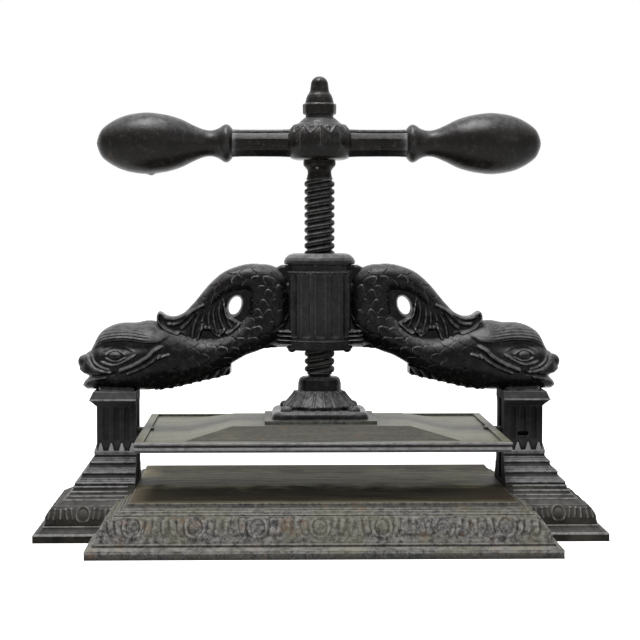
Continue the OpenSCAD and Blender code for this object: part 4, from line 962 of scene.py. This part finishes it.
class Shader:
    """Short names for the nodes of one material or world."""

    def __init__(self, owner):
        self.owner = owner
        owner.use_nodes = True
        self.tree = owner.node_tree
        self.tree.nodes.clear()
        self.place = self.node("TexCoord", {}, "Object")
        self.normal = self.node("NewGeometry", {}, "Normal")
        self.point = self.node("NewGeometry", {}, "Pointiness")

    def put(self, socket, value):
        """Link an output to an input, or set the input to a plain value."""
        if isinstance(value, bpy.types.NodeSocket):
            self.tree.links.new(value, socket)
        else:
            socket.default_value = (*value, 1.0) if socket.type == "RGBA" else value

    def node(self, kind, inputs, out=0, **settings):
        """Output of a new node; inputs are by name or number."""
        node = self.tree.nodes.new("ShaderNode" + kind)
        for key, value in settings.items():
            setattr(node, key, value)
        for key, value in inputs.items():
            self.put(node.inputs[key], value)
        return node.outputs[out]

    def math(self, operation, *values):
        return self.node("Math", dict(enumerate(values)), operation=operation)

    def times(self, *factors):
        """Product of all factors."""
        product = factors[0]
        for factor in factors[1:]:
            product = self.math("MULTIPLY", product, factor)
        return product

    def band(self, *numbers):
        """Smooth step of a value from low to high, to given ends or from 0 to 1."""
        return self.node("MapRange", dict(enumerate(numbers)), interpolation_type="SMOOTHSTEP")

    def noise(self, scale, detail=4.0, rough=0.55):
        """Noise of one scale, or of its own scale along each axis."""
        place = self.place
        if isinstance(scale, tuple):
            place = self.node("Mapping", {"Vector": place, "Scale": scale})
            scale = 1.0
        return self.node("TexNoise", {"Vector": place, "Scale": scale, "Detail": detail,
                                      "Roughness": rough})

    def mix(self, share, a, b):
        return self.node("Mix", {0: share, 6: a, 7: b}, 2, data_type="RGBA")

    def lay(self, colour, tone, *shares):
        """A tone laid over a colour, by the product of the shares."""
        return self.mix(self.times(*shares), colour, tone)

    def part(self, vector, axis):
        return self.node("SeparateXYZ", {0: vector}, axis)

    def far(self, value, middle=0.0):
        """Distance of a value from a middle."""
        return self.math("ABSOLUTE", self.math("SUBTRACT", value, middle))

    def level(self, height, middle, half):
        """Share of a line at one height."""
        return self.band(self.far(height, middle), half, 0.4 * half)

    def edges(self, radius):
        """Share of edge at a point of a solid, from its rounded normal."""
        bevel = self.node("Bevel", {"Radius": radius}, samples=4)
        likeness = self.node("VectorMath", {0: bevel, 1: self.normal}, "Value", operation="DOT_PRODUCT")
        return self.band(likeness, 0.995, 0.86)

    def corners(self, reach):
        """Share of painted shade in the inner corners of a solid, from ambient occlusion."""
        return self.band(self.node("AmbientOcclusion", {"Distance": reach}, 1, samples=6), 0.78, 0.4)

    def finish(self, colour, roughness, height, bump, depth, specular):
        """The material, with its bumps and a fixed specular level."""
        surface = self.node("Bump", {"Height": height, "Strength": bump, "Distance": depth})
        shade = self.node("BsdfPrincipled", {"Base Color": colour, "Roughness": roughness,
                                             "Specular IOR Level": specular, "Normal": surface})
        return self.end("ShaderNodeOutputMaterial", shade)

    def end(self, kind, shade):
        self.put(self.tree.nodes.new(kind).inputs["Surface"], shade)
        return self.owner


def old_iron(name, sculpted, dark=(0.0016, 0.0014, 0.0018), grey=(0.0048, 0.0043, 0.0052),
             edge=(0.28, 0.277, 0.283), rust=0.25, gloss=0.27, dust_and_top_light=0.68, shine=0.085, bump=0.35):
    """Black japanned cast iron: mottled, worn grey on edges and crests, a little rust, and paler on
    what faces up, partly dust and partly painted light from above. Hollows of a sculpted mesh and
    inner corners of a solid get painted shade. A sculpted mesh shows wear by its own shape, a solid
    by its edges."""
    s = Shader(bpy.data.materials.new(name))
    cloud = s.noise(26.0)
    mottle = s.noise(210.0, 5.0, 0.62)
    grain = s.noise(1500.0, 3.0, 0.6)
    colour = s.mix(s.band(cloud, 0.35, 0.68), dark, grey)
    colour = s.lay(colour, (0.05, 0.048, 0.047), s.band(mottle, 0.5, 0.72), 0.35)
    colour = s.lay(colour, (0.11, 0.108, 0.104), s.band(grain, 0.56, 0.74), 0.22)
    if sculpted:
        worn = s.band(s.point, 0.512, 0.575)
        # Painted shade: the hollows of the sculpted surface are darkened.
        colour = s.lay(colour, (0.005, 0.005, 0.0055), s.band(s.point, 0.492, 0.44), 0.75)
    else:
        worn = s.edges(0.0011)
        # Painted shade: inner corners are darkened by ambient occlusion.
        colour = s.lay(colour, (0.004, 0.0039, 0.0037), s.corners(0.004), 0.8)
    colour = s.lay(colour, edge, worn, s.band(mottle, 0.3, 0.62, 0.35, 1.0), 0.75)
    # Paler on what faces up: partly dust, partly painted light from above.
    up = s.band(s.part(s.normal, 2), 0.2, 0.95)
    dust_and_top_light_share = s.band(mottle, 0.3, 0.65, 0.5 * dust_and_top_light, dust_and_top_light)
    colour = s.lay(colour, (0.185, 0.182, 0.185), up, dust_and_top_light_share)
    colour = s.lay(colour, (0.10, 0.058, 0.03), s.band(s.noise(48.0, 6.0, 0.7), 0.62, 0.75), rust)
    rough = s.math("ADD", s.times(mottle, 0.3), gloss - 0.15)
    bumps = s.math("ADD", s.times(mottle, 0.6), s.times(grain, 0.4))
    return s.finish(colour, rough, bumps, bump, 0.0005, shine)


# Lines of painted shade in the quirks of the bed's mouldings: height and half breadth, in metres
BED_SHADE_LINES = ((0.0383, 0.0012), (0.0324, 0.0008), (0.0104, 0.0009))
# Roughness of the smoothest flats, and specular level
FLAT_ROUGH = {"relief": 0.3, "bed": 0.38, "platen": 0.3}
WORN_SHINE = {"relief": 0.1, "bed": 0.16, "platen": 0.27}


def worn_iron(name, where, pale=(0.20, 0.195, 0.185)):
    """Bare worn iron of the bed, the platen or the relief on the bed: olive patina on the flats,
    rust and specks on the mouldings, painted shade along their quirks, hollows and corners. The
    bed's top has painted light and shade, darker to the front where the platen shades it. The
    platen is dull on its front and back slopes, with painted shade on them. Heights are in metres."""
    s = Shader(bpy.data.materials.new(name))
    cloud = s.noise(24.0, 5.0, 0.62)
    mottle = s.noise(240.0, 6.0, 0.66)
    grain = s.noise(1300.0, 3.0, 0.6)
    patch = s.noise(58.0, 6.0, 0.7)
    streak = s.band(s.noise((14.0, 170.0, 120.0), 6.0, 0.66), 0.3, 0.7)
    height = s.part(s.place, 2)
    up = s.band(s.part(s.normal, 2), 0.80, 0.97)
    low_tone = (0.05, 0.049, 0.052) if where == "platen" else (0.028, 0.027, 0.028)
    side = s.mix(s.band(mottle, 0.34, 0.68), low_tone, pale)
    side = s.lay(side, (0.115, 0.112, 0.072), s.band(cloud, 0.44, 0.62), 0.5)
    specks = s.band(s.noise(520.0, 3.0, 0.6), 0.58, 0.72)
    side = s.lay(side, (0.36, 0.355, 0.335), specks, 0.38)
    pits = s.band(s.noise(430.0, 3.0, 0.6), 0.43, 0.3)
    side = s.lay(side, (0.016, 0.015, 0.015), pits, 0.5)
    flat = s.mix(streak, (0.064, 0.062, 0.042), (0.14, 0.1365, 0.096))
    sheen = up
    if where == "bed":
        up = s.times(up, s.band(height, 0.0385, 0.0395))
        # Painted light and shade on the bed's top: darker to the front, where the platen shades it,
        # paler and glossier behind.
        near = s.mix(streak, (0.06, 0.051, 0.033), (0.17, 0.15, 0.096))
        far = s.mix(streak, (0.25, 0.235, 0.09), (0.7, 0.655, 0.27))
        depth = s.math("ADD", s.part(s.place, 1), s.times(cloud, 0.12))
        painted_light_share = s.band(depth, 0.006, 0.05)
        flat = s.mix(painted_light_share, near, far)
        sheen = s.times(up, painted_light_share, s.band(depth, 0.1, 0.17, 1.0, 0.5))
        back = s.mix(streak, (0.13, 0.115, 0.085), (0.25, 0.225, 0.17))
        flat = s.mix(s.band(depth, 0.11, 0.17, 0.0, 0.8), flat, back)
        blots = s.band(s.noise((13.0, 42.0, 1.0), 5.0, 0.6), 0.5, 0.62, 0.0, 0.62)
        flat = s.lay(flat, (0.05, 0.042, 0.026), blots)
        margin = s.band(s.far(s.part(s.place, 0)), 0.122, 0.152)
        flat = s.lay(flat, (0.072, 0.057, 0.038), margin, s.band(patch, 0.3, 0.55, 0.4, 0.85))
        ledge = s.level(height, 0.0083, 0.0016)
        side = s.lay(side, (0.28, 0.27, 0.235), ledge, s.band(patch, 0.4, 0.6, 0.1, 0.5))
        # Painted shade in the quirks, and darker towards the foot of the plinth.
        painted_groove_shade = s.band(height, 0.0062, 0.002)
        for middle, half in BED_SHADE_LINES:
            painted_groove_shade = s.math("MAXIMUM", painted_groove_shade, s.level(height, middle, half))
        side = s.lay(side, (0.02, 0.019, 0.019), painted_groove_shade, 0.6)
    if where == "platen":
        # Painted shade on the front and back slopes, in place of the reflection that the flats catch;
        # the same darker tone also goes on the middle and on random patches.
        steep = s.band(s.far(s.part(s.normal, 1)), 0.08, 0.16)
        bare_and_slope_shade = s.mix(s.band(mottle, 0.3, 0.7), (0.021, 0.0204, 0.0192), (0.054, 0.0527, 0.05))
        middle = s.band(s.far(s.part(s.place, 0)), 0.075, 0.045, 0.0, 0.75)
        scuffed = s.math("MAXIMUM", middle, s.band(patch, 0.5, 0.66, 0.0, 0.55))
        slope = s.times(steep, s.band(cloud, 0.3, 0.55, 0.45, 0.8))
        flat = s.lay(flat, bare_and_slope_shade, s.math("MAXIMUM", slope, scuffed))
        sheen = s.times(up, s.math("SUBTRACT", 1.0, steep))
        # Painted shade in the hollow of the platen's edge and along its lower part.
        painted_groove_shade = s.math("MAXIMUM", s.band(height, 0.083, 0.0822), s.level(height, 0.0862, 0.0012))
        side = s.lay(side, (0.024, 0.023, 0.024), painted_groove_shade, 0.8)
    colour = s.mix(up, side, flat)
    rust = s.band(patch, 0.55, 0.68)
    colour = s.lay(colour, (0.15, 0.085, 0.048), rust, 0.25 if where == "platen" else 0.5)
    if where == "relief":
        worn = s.band(s.point, 0.51, 0.57)
        # Painted shade: the hollows of the relief are darkened.
        colour = s.lay(colour, (0.016, 0.0155, 0.015), s.band(s.point, 0.492, 0.45), 0.75)
    else:
        worn = s.edges(0.0014)
        # Painted shade: inner corners are darkened by ambient occlusion.
        colour = s.lay(colour, (0.013, 0.0125, 0.0115), s.corners(0.005), 0.8)
    worn = s.times(worn, s.band(mottle, 0.32, 0.6, 0.3, 1.0))
    colour = s.lay(colour, (0.30, 0.298, 0.275), worn, 0.42)
    rough = s.math("ADD", s.times(mottle, 0.25), s.band(sheen, 0.0, 1.0, 0.7, FLAT_ROUGH[where]))
    bumps = s.math("ADD", s.times(mottle, 0.7), s.times(grain, 0.3))
    return s.finish(colour, rough, bumps, 0.4, 0.0006, WORN_SHINE[where])


iron_cast = old_iron("iron_cast", True)
iron_boss = old_iron("iron_boss", True, dark=(0.007, 0.0066, 0.0074), grey=(0.02, 0.019, 0.0206),
                     dust_and_top_light=0.95)
iron_handle = old_iron("iron_handle", True, dark=(0.0042, 0.0035, 0.003),
                       grey=(0.01, 0.0085, 0.0076), rust=0.5, gloss=0.2, dust_and_top_light=0.42, shine=0.11,
                       bump=0.7)
iron_solid = old_iron("iron_solid", False, dark=(0.012, 0.0115, 0.0122),
                      grey=(0.031, 0.0298, 0.031), edge=(0.075, 0.073, 0.075), gloss=0.7,
                      dust_and_top_light=0.95, shine=0.03)
iron_reed = old_iron("iron_reed", True, edge=(0.33, 0.325, 0.33), gloss=0.6, dust_and_top_light=1.0, shine=0.05)
# Pale tone on the wedges at the feet of the flutes: a painted highlight where light catches them.
flute_feet_highlight = old_iron("flute_feet_highlight", False, dark=(0.08, 0.078, 0.082), grey=(0.31, 0.303, 0.312),
                     gloss=0.5, dust_and_top_light=1.0)
plate_rolls = old_iron("plate_rolls", True, dark=(0.06, 0.059, 0.063), grey=(0.135, 0.133, 0.137),
                       edge=(0.3, 0.296, 0.3), gloss=0.5, dust_and_top_light=0.2, shine=0.15, bump=0.2)
iron_screw = old_iron("iron_screw", True, dark=(0.0042, 0.004, 0.0036),
                      grey=(0.013, 0.0118, 0.0096), rust=0.5, dust_and_top_light=0.6, shine=0.035)
steel_head = old_iron("steel_head", False, grey=(0.075, 0.072, 0.069), edge=(0.24, 0.225, 0.21),
                      rust=0.4)
plate_iron = worn_iron("plate_iron", "platen", pale=(0.17, 0.167, 0.16))
base_iron = worn_iron("base_iron", "bed", pale=(0.14, 0.137, 0.13))
carved_iron = worn_iron("carved_iron", "relief")
wing_look = {"dark": (0.01, 0.0096, 0.0085), "grey": (0.045, 0.0425, 0.035), "rust": 0.8,
             "gloss": 0.7, "dust_and_top_light": 0.3, "shine": 0.03}
wing_carved = old_iron("wing_carved", True, edge=(0.34, 0.335, 0.33), **wing_look)
wing_iron = old_iron("wing_iron", False, edge=(0.2, 0.195, 0.178), **wing_look)

# Pieces

SIDES = (("left", -1), ("right", 1))
for word, side in SIDES:
    make_piece(word + "_dolphin", dolphin_form(side), "frame", iron_cast,
               ["dolphin_arch"], 75)
make_piece("arch_boss", boss_form(), "frame", iron_boss, ["dolphin_arch"])
make_piece("pressing_screw", screw_form(), "spindle", iron_screw, ["screw"], 50)
make_piece("press_handle", handle_form(), "spindle", iron_handle, ["handle"])
make_piece("acorn_nut", finial_form(), "spindle", iron_handle, ["finial_nut"])
make_piece("screw_socket", socket_form(), "pressing_plate", iron_cast,
           ["swivel_socket"], 50)
for i, (x, y, turn) in enumerate(((-1, -1, 0.5), (1, -1, 1.1), (1, 1, -0.4), (-1, 1, 0.2))):
    head = screw_head_form(x * SCREW_AT, y * SCREW_AT, turn)
    make_piece(f"flange_screw_{i + 1}", head, "pressing_plate", steel_head,
               [f"socket_screw_{i + 1}"])
for word, side in SIDES:
    make_piece(word + "_flute_feet", flare_form(side), "frame", flute_feet_highlight, sharp=20)
    walls = three_sides(side, BED_HALF_X, COLUMN_OUT, COLUMN_HALF_Y)
    reeds = reed_form(walls, foot_reeds())
    make_piece(word + "_foot_reeds", reeds, "frame", iron_reed, sharp=60)
    walls = three_sides(side, BED_HALF_X + 6, FOOT_OUT, FOOT_HALF_Y)
    reeds = reed_form(walls, wing_reeds())
    make_piece(word + "_wing_reeds", reeds, "frame", wing_carved, sharp=60)
reeds = reed_form(four_sides(BED_HALF_X, BED_HALF_Y), BED_REEDS, closed=True)
make_piece("bed_reeds", reeds, "frame", carved_iron, sharp=60)
reeds = reed_form(four_sides(PLATEN_HALF_X, PLATEN_HALF_Y), PLATEN_REEDS, closed=True)
make_piece("platen_reeds", reeds, "pressing_plate", plate_rolls, sharp=60)
for word, front in (("front", -1), ("back", 1)):
    make_piece(word + "_eggs", skirt_eggs(front), "frame", carved_iron, sharp=60)
for word, side in SIDES:
    make_piece(word + "_wing_eggs", wing_eggs(side), "frame", wing_carved, sharp=60)

dressed = {"base_casting": base_iron, "platen": plate_iron, "left_wing": wing_iron,
           "right_wing": wing_iron, "left_column": iron_solid, "right_column": iron_solid,
           "screw_nut": iron_solid}
for name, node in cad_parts.items():
    node.data.materials.clear()
    node.data.materials.append(dressed.get(name, steel_head))
    bevel = node.modifiers.new("broken_edges", "BEVEL")
    bevel.width = 0.0011 if name.endswith("wing") else 0.0006
    bevel.segments = 2
    bevel.limit_method = "ANGLE"
    bevel.angle_limit = math.radians(35)

# Floor and light, in metres and watts

FLOOR_HALF = 6
FLOOR_TONE = (0.86, 0.86, 0.86)
# Glow of the floor that the camera sees: under the press and away from it
GLOW_REACH = (0.45, 1.6)
GLOW = (0.62, 1.0)
WORLD_LEVEL = 0.27
WHITE = (1, 1, 1)


def seen_white(s):
    """One for rays from the camera and in reflections or glass, zero for other rays."""
    rays = s.tree.nodes.new("ShaderNodeLightPath").outputs
    seen = s.math("MAXIMUM", rays["Is Camera Ray"], rays["Is Glossy Ray"])
    return s.math("MAXIMUM", seen, rays["Is Transmission Ray"])


floor_mesh = bpy.data.meshes.new("floor")
floor_corners = [(x * FLOOR_HALF, y * FLOOR_HALF, 0) for x, y in ((-1, -1), (1, -1), (1, 1), (-1, 1))]
floor_mesh.from_pydata(floor_corners, [], [(0, 1, 2, 3)])
floor = add_object("floor", floor_mesh)
pale = Shader(bpy.data.materials.new("pale_floor"))
reach = pale.node("VectorMath", {0: pale.place}, "Value", operation="LENGTH")
strength = pale.times(seen_white(pale), pale.band(reach, *GLOW_REACH, *GLOW))
paint = pale.node("BsdfDiffuse", {"Color": FLOOR_TONE})
glow = pale.node("Emission", {"Color": WHITE, "Strength": strength})
both = pale.node("AddShader", {0: paint, 1: glow})
floor_mesh.materials.append(pale.end("ShaderNodeOutputMaterial", both))

sky = Shader(bpy.data.worlds.new("studio"))
strength = sky.node("MapRange", {0: seen_white(sky), 3: WORLD_LEVEL, 4: 1.0})
back = sky.node("Background", {"Color": WHITE, "Strength": strength})
bpy.context.scene.world = sky.end("ShaderNodeOutputWorld", back)


def look(thing, place, way):
    """Put a lamp or the camera at a place and turn it along a way."""
    thing.location = place
    thing.rotation_euler = way.to_track_quat("-Z", "Y").to_euler()


def lamp(name, place, aim_z, width, height, power):
    """Soft rectangular lamp that points at a height on the screw's axis."""
    light = bpy.data.lights.new(name, "AREA")
    light.shape = "RECTANGLE"
    light.size = width
    light.size_y = height
    light.energy = power
    look(add_object(name, light), place, Vector((0, 0, aim_z)) - Vector(place))


lamp("key_light", (-0.28, -0.34, 1.78), 0.2, 0.85, 0.55, 33)
lamp("top_light", (-0.1, 0.06, 1.8), 0.3, 0.36, 0.28, 10)
lamp("fill_light", (1.2, -1.6, 1.0), 0.2, 0.9, 0.7, 5)

# Camera in metres, fitted to the edges of bed, platen and plinth in the photograph
CAMERA_AT = (-0.0458, -1.7655, 0.2652)
FOCAL_PX = 2044.7
FRAME_PX = 640.0
SENSOR = 36.0
YAW = math.radians(1.50)
PITCH_DOWN = math.radians(2.70)
camera_data = bpy.data.cameras.new("camera")
camera_data.sensor_width = SENSOR
camera_data.sensor_fit = "HORIZONTAL"
camera_data.lens = SENSOR * FOCAL_PX / FRAME_PX
camera = add_object("camera", camera_data)
aim = Vector((math.sin(YAW), math.cos(YAW), -math.tan(PITCH_DOWN)))
look(camera, CAMERA_AT, aim)
bpy.context.scene.camera = camera
bpy.context.scene.view_settings.view_transform = "Standard"
